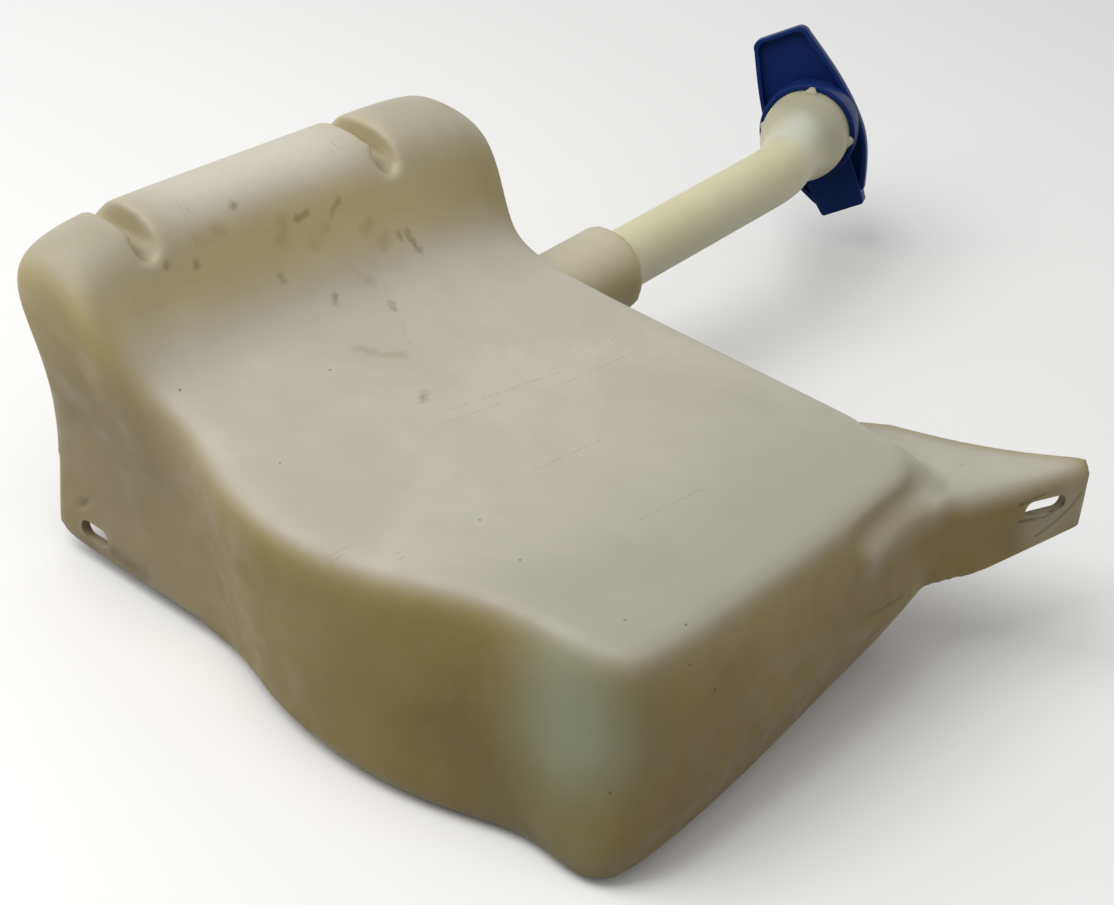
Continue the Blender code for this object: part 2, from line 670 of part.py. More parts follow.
def build_neck(shop, frame, material):
    points, _ = neck_path()
    neck = shop.part("filler_neck", swept_mesh("filler_neck", points), material)
    outline = [
        (MOUTH_R - PIPE_WALL / 2, -LUG_WIDTH / 2),
        (MOUTH_R + LUG_RISE, 0.0),
        (MOUTH_R - PIPE_WALL / 2, LUG_WIDTH / 2),
    ]
    top = -COLLAR_OVERLAP - GAP
    for i in range(LUG_COUNT):
        lug = shop.cutter(f"mouth_lug_{i + 1}", prism("mouth_lug", outline, top - LUG_THICKNESS, top))
        lug.matrix_world = frame @ Matrix.Rotation(LUG_TURN + 2 * math.pi * i / LUG_COUNT, 4, "Z")
        combine(neck, lug, "UNION")
    bore_points = [(position, radius - PIPE_WALL) for position, radius in lengthened(points, 0.01, 0.01)]
    bore = shop.cutter("neck_bore", swept_mesh("neck_bore", bore_points))
    combine(neck, bore, "DIFFERENCE")
    return neck


def build_neck_seal(shop, material):
    inner = PIPE_R + GAP
    outer = inner + SEAL_THICKNESS
    half = SEAL_LENGTH / 2
    profile = [(outer, half), (outer, -half), (inner, -half), (inner, half)]
    seal = shop.part("neck_seal", profile_mesh("neck_seal", profile), material)
    turn(seal, 32)
    seal.matrix_world = neck_frame(HIGH_Y + SOCKET_LENGTH - SEAL_DEPTH - half)
    return seal


def build_grommet(shop, material):
    """Rubber grommet that grips the pump hole's wall between its two lips."""
    seat = PUMP_SEAT_RISE + GAP
    back = -WALL - GAP
    hole = PUMP_HOLE_R - GAP
    profile = [
        (GROMMET_FLANGE_R, seat + GROMMET_LIP),
        (GROMMET_FLANGE_R, seat),
        (hole, seat),
        (hole, back),
        (PUMP_HOLE_R + GROMMET_BACK_LIP, back),
        (hole, back - GROMMET_LIP),
        (GROMMET_BORE_R, back - GROMMET_LIP),
        (GROMMET_BORE_R, seat + GROMMET_LIP),
    ]
    grommet = shop.part("pump_grommet", profile_mesh("pump_grommet", profile), material)
    turn(grommet, 28)
    grommet.matrix_world = (Matrix.Translation((BAY_FRONT_X, PUMP_Y, PUMP_Z))
                            @ Matrix.Rotation(-math.pi / 2, 4, "Y"))
    return grommet


def build_collar(shop, mouth, material):
    """Ring that grips the mouth, with the tab that carries the lid's hinge."""
    inner = MOUTH_R + GAP
    outer = inner + COLLAR_WALL
    lip = MOUTH_R - PIPE_WALL
    top = COLLAR_HEIGHT - COLLAR_OVERLAP
    profile = [
        (outer, top),
        (outer, -COLLAR_OVERLAP),
        (inner, -COLLAR_OVERLAP),
        (inner, GAP),
        (lip, GAP),
        (lip, top),
    ]
    collar = shop.part("cap_ring", profile_mesh("cap_ring", profile), material)
    turn(collar, 40)
    collar.parent = mouth
    half = HINGE_TAB_W / 2
    reach = HINGE_REACH + HINGE_TAB_LENGTH
    root = outer * 0.8
    arm = shop.cutter("hinge_arm", prism("hinge_arm", [
        (root, -LID_HINGE_W / 2), (HINGE_REACH, -half), (reach, -half + 0.001),
        (reach, half - 0.001), (HINGE_REACH, half), (root, LID_HINGE_W / 2),
    ], top - TAB_WALL, top))
    arm.parent = mouth
    combine(collar, arm, "UNION")
    block = shop.cutter("hinge_block", prism("hinge_block", [
        (HINGE_REACH + GAP, -half), (reach, -half + 0.001), (reach, half - 0.001), (HINGE_REACH + GAP, half),
    ], top - TAB_WALL / 2, top + GAP + LID_HEIGHT))
    block.parent = mouth
    combine(collar, block, "UNION")
    return collar


def lid_outline(inset=0.0, steps=7):
    """Plan of the lid: widest over the mouth, drawn in to the finger tab and to the hinge."""
    half_finger = FINGER_W / 2 - inset
    half_hinge = LID_HINGE_W / 2 - inset
    half_middle = LID_W / 2 - inset
    hinge_x = HINGE_REACH - inset
    finger_x = -FINGER_REACH + inset + FINGER_CORNER
    side = []
    for i in range(steps):
        share = i / steps
        side.append((mix(hinge_x, LID_MIDDLE_X, share),
                     mix(half_hinge, half_middle, math.sin(share * math.pi / 2))))
    for i in range(steps):
        share = i / steps
        side.append((mix(LID_MIDDLE_X, finger_x, share),
                     mix(half_finger, half_middle, math.cos(share * math.pi / 2))))
    for i in range(4):
        angle = math.radians(90 + 30 * i)
        side.append((finger_x + FINGER_CORNER * math.cos(angle),
                     half_finger - FINGER_CORNER * (1 - math.sin(angle))))
    return side + [(x, -y) for x, y in reversed(side)]


def build_lid(shop, hinge, material):
    """Shallow tray, open towards the mouth, with a plug ring that enters it."""
    def shifted(points):
        return [(x - HINGE_REACH, y) for x, y in points]

    lid = shop.part("cap_lid", prism("cap_lid", shifted(lid_outline()), -LID_HEIGHT, 0.0), material)
    lid.parent = hinge
    inner_outline = shifted(lid_outline(LID_WALL))
    tray = shop.cutter("lid_tray", prism("lid_tray", inner_outline, -LID_HEIGHT - 0.01, -LID_WALL))
    tray.parent = hinge
    combine(lid, tray, "DIFFERENCE")
    outer = MOUTH_R - PIPE_WALL - PLUG_CLEARANCE
    end = -LID_HEIGHT - PLUG_DEPTH
    inner = outer - PLUG_WALL
    root = -LID_WALL / 2
    profile = [(outer, root), (outer, end), (inner, end), (inner, root)]
    plug = shop.cutter("plug_ring", profile_mesh("plug_ring", profile))
    turn(plug, 36)
    plug.location = (-HINGE_REACH, 0, 0)
    plug.parent = hinge
    combine(lid, plug, "UNION")
    return lid


def main():
    clear_scene()
    shop = Workshop("washer_fluid_reservoir")
    natural = new_material("natural_polyethylene", NATURAL, 0.42)
    blue = new_material("blue_polypropylene", BLUE, 0.38)
    rubber = new_material("black_rubber", RUBBER, 0.75)

    frame = mouth_frame()
    build_tank(shop, natural)
    build_neck(shop, frame, natural)
    build_neck_seal(shop, rubber)
    build_grommet(shop, rubber)

    mouth = shop.empty("mouth", frame)
    lid_level = COLLAR_HEIGHT - COLLAR_OVERLAP + GAP + LID_HEIGHT
    hinge = shop.empty("lid_hinge", Matrix.Identity(4))
    hinge.parent = mouth
    hinge.location = (HINGE_REACH, 0, lid_level)
    build_collar(shop, mouth, blue)
    build_lid(shop, hinge, blue)
    bpy.context.view_layer.update()


main()
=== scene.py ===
# %% [markdown]
# # Washer fluid reservoir
# The tank that holds a car's washer fluid is one hollow blow moulding. A warm tube of polyethylene is
# closed in a mould and blown against its walls, so every edge is soft and the surface is slightly wavy.
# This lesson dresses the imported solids: it builds a finer tank skin, neck and cap in the same frame,
# gives them their plastics, and sets up the light and the camera.

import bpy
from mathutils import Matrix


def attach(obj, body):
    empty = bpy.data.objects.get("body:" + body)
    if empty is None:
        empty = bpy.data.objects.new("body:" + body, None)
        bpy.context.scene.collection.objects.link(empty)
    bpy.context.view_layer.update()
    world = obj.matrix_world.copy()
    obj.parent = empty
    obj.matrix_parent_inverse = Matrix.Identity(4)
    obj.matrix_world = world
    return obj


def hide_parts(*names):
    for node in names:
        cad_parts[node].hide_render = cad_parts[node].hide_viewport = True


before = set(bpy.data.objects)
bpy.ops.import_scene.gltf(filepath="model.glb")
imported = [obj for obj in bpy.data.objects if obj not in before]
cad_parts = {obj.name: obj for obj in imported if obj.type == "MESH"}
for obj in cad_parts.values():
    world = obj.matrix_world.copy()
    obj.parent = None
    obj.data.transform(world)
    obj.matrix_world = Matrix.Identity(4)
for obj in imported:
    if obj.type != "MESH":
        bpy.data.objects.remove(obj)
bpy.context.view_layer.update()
print("nodes:", ", ".join(sorted(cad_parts)))

# %% [markdown]
# The solids are plain stand-ins with one body for the tank and one for the lid. Three node objects are
# rebuilt here with more faces, and the rubber pieces stay and only get their material. Lengths below are
# written in millimetres, the unit in which such a part is drawn, and turned into metres at one place.

# %% Bring in the tools and set the unit
import math

import bmesh
import bpy
import numpy as np
from mathutils import Matrix, Vector

MM = 0.001


def mix(a, b, share):
    return a + (b - a) * share


print("one millimetre is", MM, "of Blender's units")

# %% [markdown]
# ## Small helpers
# A mesh that is still being edited lives in a `bmesh`. When it is ready, its faces are turned outwards
# and it becomes an object. Joining and cutting use Boolean modifiers, which are evaluated at once so
# that the piece is plain mesh again.

# %% Turn a bmesh into an object
def finish_mesh(bm, name):
    bmesh.ops.recalc_face_normals(bm, faces=bm.faces)
    if bm.calc_volume(signed=True) < 0:
        bmesh.ops.reverse_faces(bm, faces=bm.faces)
    mesh = bpy.data.meshes.new(name)
    bm.to_mesh(mesh)
    bm.free()
    mesh.shade_smooth()
    piece = bpy.data.objects.new(name, mesh)
    bpy.context.scene.collection.objects.link(piece)
    return piece


def evaluate(piece):
    """Replaces the piece's mesh by what its modifiers make of it."""
    bpy.context.view_layer.update()
    evaluated = piece.evaluated_get(bpy.context.evaluated_depsgraph_get())
    made = bpy.data.meshes.new_from_object(evaluated)
    piece.modifiers.clear()
    piece.data = made
    return piece


def combine(piece, others, operation):
    """Joins the others to the piece, or cuts them out of it, and removes them."""
    for other in others:
        modifier = piece.modifiers.new(other.name, "BOOLEAN")
        modifier.operation = operation
        modifier.solver = "EXACT"
        modifier.object = other
    evaluate(piece)
    for other in others:
        bpy.data.objects.remove(other, do_unlink=True)
    return piece


print("helpers: finish_mesh, evaluate, combine")

# %% [markdown]
# Flat outlines give most of the small forms. `rounded` puts an arc at each corner of an outline, as a
# mould maker does, `plate` raises an outline into a plate, and `lathe` turns a closed profile about Z.

# %% Outlines, plates and turned shapes
def rounded(outline, radius, steps=4):
    """The outline with an arc of about that radius at each corner."""
    count = len(outline)
    points = []
    for i in range(count):
        before, corner, after = (Vector(outline[(i + d) % count]) for d in (-1, 0, 1))
        back, ahead = before - corner, after - corner
        reach = min(radius, back.length * 0.45, ahead.length * 0.45)
        start = corner + back.normalized() * reach
        end = corner + ahead.normalized() * reach
        for s in range(steps + 1):
            t = s / steps
            points.append(start * (1 - t) ** 2 + corner * 2 * t * (1 - t) + end * t ** 2)
    return points


def plate(name, outline, low, high, edge=0.0, matrix=Matrix.Identity(4)):
    """Upright plate over a flat outline in mm, with its rims rounded by `edge`."""
    bm = bmesh.new()
    base = [bm.verts.new((x, y, low)) for x, y in outline]
    face = bm.faces.new(base)
    raised = [g for g in bmesh.ops.extrude_face_region(bm, geom=[face])["geom"]
              if isinstance(g, bmesh.types.BMVert)]
    bmesh.ops.translate(bm, verts=raised, vec=(0, 0, high - low))
    if edge:
        rims = [e for e in bm.edges if abs(e.verts[0].co.z - e.verts[1].co.z) < 1e-6]
        bmesh.ops.bevel(bm, geom=rims, offset=edge, segments=3, profile=0.5, affect="EDGES")
    bmesh.ops.transform(bm, matrix=matrix @ Matrix.Scale(MM, 4), verts=bm.verts)
    return finish_mesh(bm, name)


def lathe(name, profile, matrix, segments=96):
    """Closed (radius, height) profile in mm, turned about the matrix's Z axis."""
    bm = bmesh.new()
    rings = []
    for i in range(segments):
        angle = 2 * math.pi * i / segments
        rings.append([bm.verts.new((r * math.cos(angle), r * math.sin(angle), h)) for r, h in profile])
    count = len(profile)
    for i, ring in enumerate(rings):
        following = rings[(i + 1) % segments]
        for k in range(count):
            n = (k + 1) % count
            bm.faces.new([ring[k], following[k], following[n], ring[n]])
    bmesh.ops.transform(bm, matrix=matrix @ Matrix.Scale(MM, 4), verts=bm.verts)
    return finish_mesh(bm, name)


def stadium(length, width, steps=16):
    """Outline of a slot: two half circles joined by straight sides."""
    radius = width / 2
    reach = length / 2 - radius
    return [(side * reach + radius * math.cos(math.radians(start + 180 * i / steps)),
             radius * math.sin(math.radians(start + 180 * i / steps)))
            for side, start in ((1, -90), (-1, 90)) for i in range(steps + 1)]


print("slot outline has", len(stadium(22.5, 9)), "points")

# %% [markdown]
# ## Materials
# Colours are written as the sRGB codes that a paint program shows and turned into the linear numbers
# that the renderer adds up. One small function adds a node with its settings and its links, so that a
# material reads from top to bottom as a list of what each node gives the eye.

# %% Colour and node helpers
def paint(code):
    """Linear colour from an sRGB code such as BDB9AA."""
    shares = [int(code[i:i + 2], 16) / 255 for i in (0, 2, 4)]
    return [s / 12.92 if s <= 0.04045 else ((s + 0.055) / 1.055) ** 2.4 for s in shares] + [1.0]


def add_node(tree, kind, inputs, **settings):
    """Adds a node, sets its properties, and gives each input a value or a link."""
    node = tree.nodes.new(kind)
    for name, value in settings.items():
        setattr(node, name, value)
    for name, value in inputs.items():
        if isinstance(value, bpy.types.NodeSocket):
            tree.links.new(value, node.inputs[name])
        else:
            node.inputs[name].default_value = value
    return node


print("pale plastic in linear light:", [round(v, 3) for v in paint("BDB9AA")])

# %% [markdown]
# Three combinations come back again and again: a soft noise at a real size in millimetres, a mask that
# rises between two values, and a blend of two colours by a mask. Each is a function of one node or two.

# %% Noise, mask and blend
def noise(tree, coords, size_mm, detail=2.0, roughness=0.5, distortion=0.0):
    """Noise whose blotches are about size_mm across."""
    made = add_node(tree, "ShaderNodeTexNoise", {
        "Vector": coords, "Scale": 1 / (size_mm * MM), "Detail": detail,
        "Roughness": roughness, "Distortion": distortion})
    return made.outputs["Fac"]


def mask(tree, value, low, high, out_low=0.0, out_high=1.0):
    """Smooth rise from out_low to out_high while value goes from low to high."""
    made = add_node(tree, "ShaderNodeMapRange", {
        "Value": value, "From Min": low, "From Max": high,
        "To Min": out_low, "To Max": out_high}, interpolation_type="SMOOTHSTEP")
    return made.outputs["Result"]


def times(tree, a, b):
    return add_node(tree, "ShaderNodeMath", {0: a, 1: b}, operation="MULTIPLY").outputs[0]


def greater(tree, a, b):
    return add_node(tree, "ShaderNodeMath", {0: a, 1: b}, operation="MAXIMUM").outputs[0]


def blend(tree, share, under, over, kind="MIX"):
    """Colour over laid on colour under by share."""
    made = add_node(tree, "ShaderNodeMix", {0: share, 6: under, 7: over},
                    data_type="RGBA", blend_type=kind)
    return made.outputs[2]


print("noise, mask, times, greater and blend are ready")

# %% [markdown]
# Scratches, dirt lines and broad stains all sit at places on the tank. A node group measures how far
# the point being shaded lies from a straight stroke in the piece's own space, and turns that into a mask.
# The same group draws a hair-thin scratch or, with a large width, a soft cloud of colour.

# %% Group that masks a stroke
def stroke_group():
    group = bpy.data.node_groups.new("stroke", "ShaderNodeTree")
    for name, kind in (("Point", "NodeSocketVector"), ("Start", "NodeSocketVector"),
                       ("Span", "NodeSocketVector"), ("Span By Length", "NodeSocketVector"),
                       ("Width", "NodeSocketFloat")):
        group.interface.new_socket(name, in_out="INPUT", socket_type=kind)
    group.interface.new_socket("Mask", in_out="OUTPUT", socket_type="NodeSocketFloat")
    given = group.nodes.new("NodeGroupInput").outputs
    reach = add_node(group, "ShaderNodeVectorMath", {0: given["Point"], 1: given["Start"]},
                     operation="SUBTRACT").outputs[0]
    share = add_node(group, "ShaderNodeVectorMath", {0: reach, 1: given["Span By Length"]},
                     operation="DOT_PRODUCT").outputs["Value"]
    held = add_node(group, "ShaderNodeClamp", {"Value": share}).outputs[0]
    foot = add_node(group, "ShaderNodeVectorMath", {0: given["Span"], "Scale": held},
                    operation="SCALE").outputs[0]
    distance = add_node(group, "ShaderNodeVectorMath", {0: reach, 1: foot},
                        operation="DISTANCE").outputs["Value"]
    near = add_node(group, "ShaderNodeMapRange", {
        "Value": distance, "From Min": given["Width"], "From Max": 0.0, "To Min": 0.0,
        "To Max": 1.0}, interpolation_type="SMOOTHSTEP").outputs["Result"]
    add_node(group, "NodeGroupOutput", {"Mask": near})
    return group


STROKE = stroke_group()


def stroke(tree, point, start, end, width):
    """Mask that is 1 on the line from start to end, all in mm, and fades out over the width."""
    a, b = Vector(start) * MM, Vector(end) * MM
    span = b - a
    node = add_node(tree, "ShaderNodeGroup", {}, node_tree=STROKE)
    tree.links.new(point, node.inputs["Point"])
    node.inputs["Start"].default_value = a
    node.inputs["Span"].default_value = span
    node.inputs["Span By Length"].default_value = span / max(span.length_squared, 1e-12)
    node.inputs["Width"].default_value = width * MM
    return node.outputs["Mask"]


def strokes(tree, point, lines, width):
    """Mask of several polylines of (x, y, z) points in mm."""
    total = None
    for line in lines:
        for start, end in zip(line, line[1:]):
            one = stroke(tree, point, start, end, width)
            total = one if total is None else greater(tree, total, one)
    return total


print("stroke group has", len(STROKE.nodes), "nodes")

# %% [markdown]
# ## The tank's skin
# The tank is broad and low: a flat top face, a ridge with two notches along its back, a bulge in the
# long wall and a hollow beside the front corner. Its edges are all blends of different radius, which is
# what a subdivision surface does well. The cage is a grid wrapped round a box: thirteen stations from front
# to back, seven lines across and five levels up.

# %% Stations of the cage
TOP_LINE = [  # x, z and the low wall's y along the top, front to back, in mm
    (158, 95, -90), (136, 95, -99), (118, 95, -99), (86, 95, -102), (40, 95, -131), (-16, 95, -131),
    (-66, 96, -104), (-90, 104, -101), (-98.5, 127, -103), (-105.5, 145.5, -104), (-118, 154, -104),
    (-147, 154, -104), (-164, 144, -100),
]
BOTTOM_LINE = [  # x and the low wall's y along the underside
    (158, -108), (140, -109), (122, -105), (90, -120), (52, -127), (4.5, -121), (-26.2, -107),
    (-53.8, -105), (-78.4, -105), (-93.7, -105), (-109.1, -105), (-131, -105), (-149, -103),
]
ACROSS = [0.0, 0.12, 0.30, 0.50, 0.70, 0.88, 1.0]
LEAN = [0.0, 0.10, 0.45, 0.84, 1.0]
DECK_Z, RIDGE_Z = 95, 153
FRONT_X, BACK_X, BACK_WALL_X = 158, -164, -149
LOW_Y, HIGH_Y = -100, 116
EDGE, SHOULDER, RIDGE_END_ROUND = 18, 26, 24
DRAFT, FRONT_TAPER, FRONT_SWEEP, FRONT_HOLLOW, RIDGE_SWEEP = 11, 36, 8, 1.8, 8
print(len(TOP_LINE), "stations,", len(ACROSS), "lines across,", len(LEAN), "levels")

# %% [markdown]
# Each cage point is worked out from its station, line and level. Rows close to an edge keep it tight,
# and rows further away let it round over. Along the front wall the middle level follows the mould's
# parting line, which climbs from the low corner to the ear, and below it the wall draws in.

# %% Place one point of the cage
def parting_z(share):
    climb = min(1.0, max(0.0, (share - 0.05) / 0.60))
    return mix(17, 45, math.sin(climb * math.pi / 2))


def cage_point(i, j, k):
    share = ACROSS[j]
    last_i, last_j = len(TOP_LINE) - 1, len(ACROSS) - 1
    top_x, top_z, low_top = TOP_LINE[i]
    bottom_x, low_bottom = BOTTOM_LINE[i]
    on_ridge = max(0.0, min(1.0, (top_z - DECK_Z) / (RIDGE_Z - DECK_Z)))
    soft = SHOULDER if i in (4, 5, 6) and j < 2 else EDGE
    side = mix(soft, RIDGE_END_ROUND, on_ridge)
    upper = top_z - side
    z = [0.0, EDGE, upper * mix(0.5, 0.62, on_ridge), upper, top_z][k]
    x = mix(bottom_x, top_x, LEAN[k])
    if i == last_i:
        x = [BACK_WALL_X, BACK_WALL_X, BACK_WALL_X, BACK_X, BACK_X + 10][k]
    low_wall = mix(low_bottom, low_top, LEAN[k])
    high_wall = HIGH_Y + DRAFT * 0.5 * (1 - abs(2 * LEAN[k] - 1))
    y = {0: low_wall, 1: low_wall + side, last_j - 1: high_wall - side, last_j: high_wall}.get(
        j, mix(LOW_Y, HIGH_Y, share))
    if j in (0, last_j):
        y += (on_ridge * 1 if j else -on_ridge * 21) * [0.0, 0.0, 0.0, 1.0, 0.6][k]
        z -= on_ridge * RIDGE_END_ROUND * [0.0, 0.0, 0.0, 0.0, 0.20][k]
    if i < 2 and k == 4:
        x -= FRONT_SWEEP * share * share * [1.0, 0.6][i]
    if i in (8, 9, 10) and k == 4:
        x -= RIDGE_SWEEP * (1 - share * share)
    draw = FRONT_TAPER * share * share * [1.0, 0.65, 0.0, 0.0, 0.0][k]
    x -= draw * [1.0, 1.0, 0.5][i] if i < 3 else 0.0
    if i == 0 and k < 4:
        line = parting_z(share)
        hollow = FRONT_HOLLOW * 4 * share * (1 - share) * [1.0, 1.0, 0.6, 0.0][k]
        upper_wall = 4 - 6 * share - 0.7 * FRONT_SWEEP * share * share
        x = FRONT_X + [8, DRAFT + 2, DRAFT + 4 - 14 * share ** 2, upper_wall][k] - draw - hollow
        z = [0.0, line * 0.45, line, DECK_Z - EDGE][k]
        x -= 6 if j in (0, last_j) else 0
    return Vector((x, y, z)) * MM


print("front corner of the cage in mm:", [round(v / MM, 1) for v in cage_point(0, 0, 4)])

# %% [markdown]
# The cage's six sides are filled with quads, and a crease along the parting line keeps that edge
# crisper than the rest. Two subdivisions more than the solid has give the skin its smooth run.

# %% Build and subdivide the cage
def build_cage():
    last_i, last_j, last_k = len(TOP_LINE) - 1, len(ACROSS) - 1, len(LEAN) - 1
    bm = bmesh.new()
    points = {}

    def quad(*corners):
        for corner in corners:
            if corner not in points:
                points[corner] = bm.verts.new(cage_point(*corner))
        bm.faces.new([points[corner] for corner in corners])

    for i in range(last_i):
        for j in range(last_j):
            for k in (0, last_k):
                quad((i, j, k), (i, j + 1, k), (i + 1, j + 1, k), (i + 1, j, k))
        for k in range(last_k):
            for j in (0, last_j):
                quad((i, j, k), (i, j, k + 1), (i + 1, j, k + 1), (i + 1, j, k))
    for j in range(last_j):
        for k in range(last_k):
            for i in (0, last_i):
                quad((i, j, k), (i, j + 1, k), (i, j + 1, k + 1), (i, j, k + 1))
    crease = bm.edges.layers.float.new("crease_edge")
    for j in range(last_j):
        bm.edges.get((points[(0, j, 2)], points[(0, j + 1, 2)]))[crease] = 0.7
    cage = finish_mesh(bm, "reservoir_tank")
    soft = cage.modifiers.new("soft form", "SUBSURF")
    soft.levels = soft.render_levels = 3
    return evaluate(cage)


tank = build_cage()
print("skin starts with", len(tank.data.polygons), "faces")

# %% [markdown]
# ## Ear, socket, pump bay and notches
# The ear at the front corner is a shelf with a plate that hangs from its rim, blown as part of the same
# bubble. Its plate is made a little too deep, because it is trimmed to its line when the skin is done.
# The socket for the filler neck stands out of the end wall. Both are made as separate closed forms and
# joined to the skin. The pump bay, the flange beside it and the two notches are cut out of it.

# %% Ear
EAR_TOP, EAR_BOTTOM, EAR_WALL, EAR_SPARE = 80, 41, 4.5, 5
KNEE, TIP = Vector((153.5, 84)), Vector((186, 176))
along = (TIP - KNEE).normalized()
outward = Vector((along.y, -along.x))


def build_ear():
    outline = [(118, 36), (154, 36), KNEE, KNEE + along * 37, KNEE + along * 43, TIP, (180, 179), (107, 140),
               (62, 104)]
    bm = bmesh.new()
    base = [bm.verts.new((x, y, EAR_BOTTOM)) for x, y in outline]
    face = bm.faces.new(base)
    raised = [g for g in bmesh.ops.extrude_face_region(bm, geom=[face])["geom"]
              if isinstance(g, bmesh.types.BMVert)]
    bmesh.ops.translate(bm, verts=raised, vec=(0, 0, EAR_TOP - EAR_BOTTOM))
    for vertex in base[4:7]:
        vertex.co.z -= EAR_SPARE
    rim = [e for e in bm.edges if all(v.co.z > EAR_TOP - 1 and v.co.x > 152 for v in e.verts)
           and any(v.co.y < 173 for v in e.verts)]
    bmesh.ops.bevel(bm, geom=rim, offset=10, segments=8, profile=0.5, affect="EDGES")
    # the underside is bent, and a Boolean needs flat faces
    bmesh.ops.triangulate(bm, faces=bm.faces)
    bmesh.ops.scale(bm, vec=(MM, MM, MM), verts=bm.verts)
    ear = finish_mesh(bm, "ear")
    inner_tip = TIP - outward * EAR_WALL + along * 30
    inner_knee = KNEE - Vector((EAR_WALL, -1))
    share = (HIGH_Y - inner_knee.y) / (inner_tip.y - inner_knee.y)
    hollow = plate("ear_hollow", [
        (inner_knee.x - 1, HIGH_Y), (mix(inner_knee.x, inner_tip.x, share), HIGH_Y),
        tuple(inner_tip), (47, inner_tip.y), (47, HIGH_Y)], EAR_BOTTOM - 20, EAR_TOP - EAR_WALL)
    return combine(ear, [hollow], "DIFFERENCE")


ear = build_ear()
print("ear reaches x", round(max(v.co.x for v in ear.data.vertices) / MM, 1), "mm")

# %% [markdown]
# The neck rises 4.2 degrees along +Y. A frame on its axis places the socket here, and the pipe and its
# seal later on. The pump bay is a rounded block cut out of the underside; behind the low wall it leaves
# the flange with its bolt slot standing free.

# %% Frames and cutters
NECK_X, NECK_Z, NECK_RISE = -75, 63.4, math.radians(4.2)
SOCKET_R, BORE_R, SOCKET_LENGTH = 21.0, 17.4, 57
neck_along = Vector((0, math.cos(NECK_RISE), math.sin(NECK_RISE)))


def neck_point(y):
    return Vector((NECK_X, y, NECK_Z + (y - HIGH_Y) * math.tan(NECK_RISE))) * MM


def frame_at(point, x_axis, z_axis):
    """Frame at a point in metres, from the two axes it turns to."""
    return Matrix.Translation(point) @ Matrix((x_axis, z_axis.cross(x_axis), z_axis)).transposed().to_4x4()


socket_frame = frame_at(neck_point(HIGH_Y), Vector((1, 0, 0)), neck_along)
pump_frame = frame_at(Vector((-50, -66, 26)) * MM, Vector((0, 0, 1)), Vector((-1, 0, 0)))
ear_slot_frame = frame_at(
    Vector((*mix(KNEE, TIP, (155 - KNEE.y) / (TIP.y - KNEE.y)), 67)) * MM,
    Vector((*along, 0)), Vector((*outward, 0)))
flange_slot_frame = frame_at(Vector((-118, -100, 16.5)) * MM, Vector((1, 0, 0)), Vector((0, -1, 0)))
socket = plate("socket", [(SOCKET_R * math.cos(a), SOCKET_R * math.sin(a))
                          for a in np.linspace(0, 2 * math.pi, 64, endpoint=False)],
               -12, SOCKET_LENGTH, edge=1.2, matrix=socket_frame)
pump_seat = plate("pump_seat", [(17 * math.cos(a), 17 * math.sin(a))
                                for a in np.linspace(0, 2 * math.pi, 64, endpoint=False)],
                  -4, 3, edge=0.6, matrix=pump_frame)
print("socket ends at y", round((socket_frame @ Vector((0, 0, SOCKET_LENGTH * MM))).y / MM, 1), "mm")

# %% Pump bay, flange, notches
def pump_bay():
    size = Vector((170, 84, 93.5))
    centre = Vector((-50, -16, 53.5)) - size / 2
    bm = bmesh.new()
    bmesh.ops.create_cube(bm, size=1.0, matrix=Matrix.Translation(centre) @ Matrix.Diagonal((*size, 1)))
    bmesh.ops.bevel(bm, geom=list(bm.edges), offset=9, segments=6, profile=0.5, affect="EDGES")
    bmesh.ops.scale(bm, vec=(MM, MM, MM), verts=bm.verts)
    return finish_mesh(bm, "pump_bay")


def flange_trim():
    """What is taken away behind and below the flange; its corner keeps a 14 mm round."""
    corner = [(-134 + 14 * math.cos(a), 20 + 14 * math.sin(a)) for a in np.linspace(math.pi, 1.5 * math.pi, 9)]
    outline = [(-198, 50), (-148, 50)] + corner + [(-51, 6), (-51, -50), (-198, -50)]
    turned = frame_at(Vector((0, -91, 0)) * MM, Vector((1, 0, 0)), Vector((0, -1, 0)))
    return plate("flange_trim", outline, 0, 90, matrix=turned)


def notch(name, y):
    """Groove across the crest: steep on both sides, and rounded in front."""
    floor, above = -11.5, 14
    rise = above - floor
    outline = [(-3.5 - rise * math.tan(math.radians(16)), above), (-3.5, floor), (3.5, floor),
               (3.5 + rise * math.tan(math.radians(10)), above)]
    bm = bmesh.new()
    face = bm.faces.new([bm.verts.new((-194, y + u, RIDGE_Z + v)) for u, v in outline])
    moved = [g for g in bmesh.ops.extrude_face_region(bm, geom=[face])["geom"]
             if isinstance(g, bmesh.types.BMVert)]
    bmesh.ops.translate(bm, verts=moved, vec=(91.5, 0, 0))
    deep = [e for e in bm.edges if min(v.co.z for v in e.verts) < RIDGE_Z
            and max(v.co.x for v in e.verts) > -103]
    bmesh.ops.bevel(bm, geom=deep, offset=3.15, segments=6, profile=0.5, affect="EDGES")
    bmesh.ops.scale(bm, vec=(MM, MM, MM), verts=bm.verts)
    return finish_mesh(bm, name)


def bowl(name, centre):
    """Dished end of a notch, where its floor runs out over the ridge's front."""
    bm = bmesh.new()
    bmesh.ops.create_icosphere(bm, subdivisions=4, radius=1.0)
    bmesh.ops.scale(bm, vec=(8.0, 6.0, 7.5), verts=bm.verts)
    bmesh.ops.translate(bm, vec=centre, verts=bm.verts)
    bmesh.ops.scale(bm, vec=(MM, MM, MM), verts=bm.verts)
    return finish_mesh(bm, name)


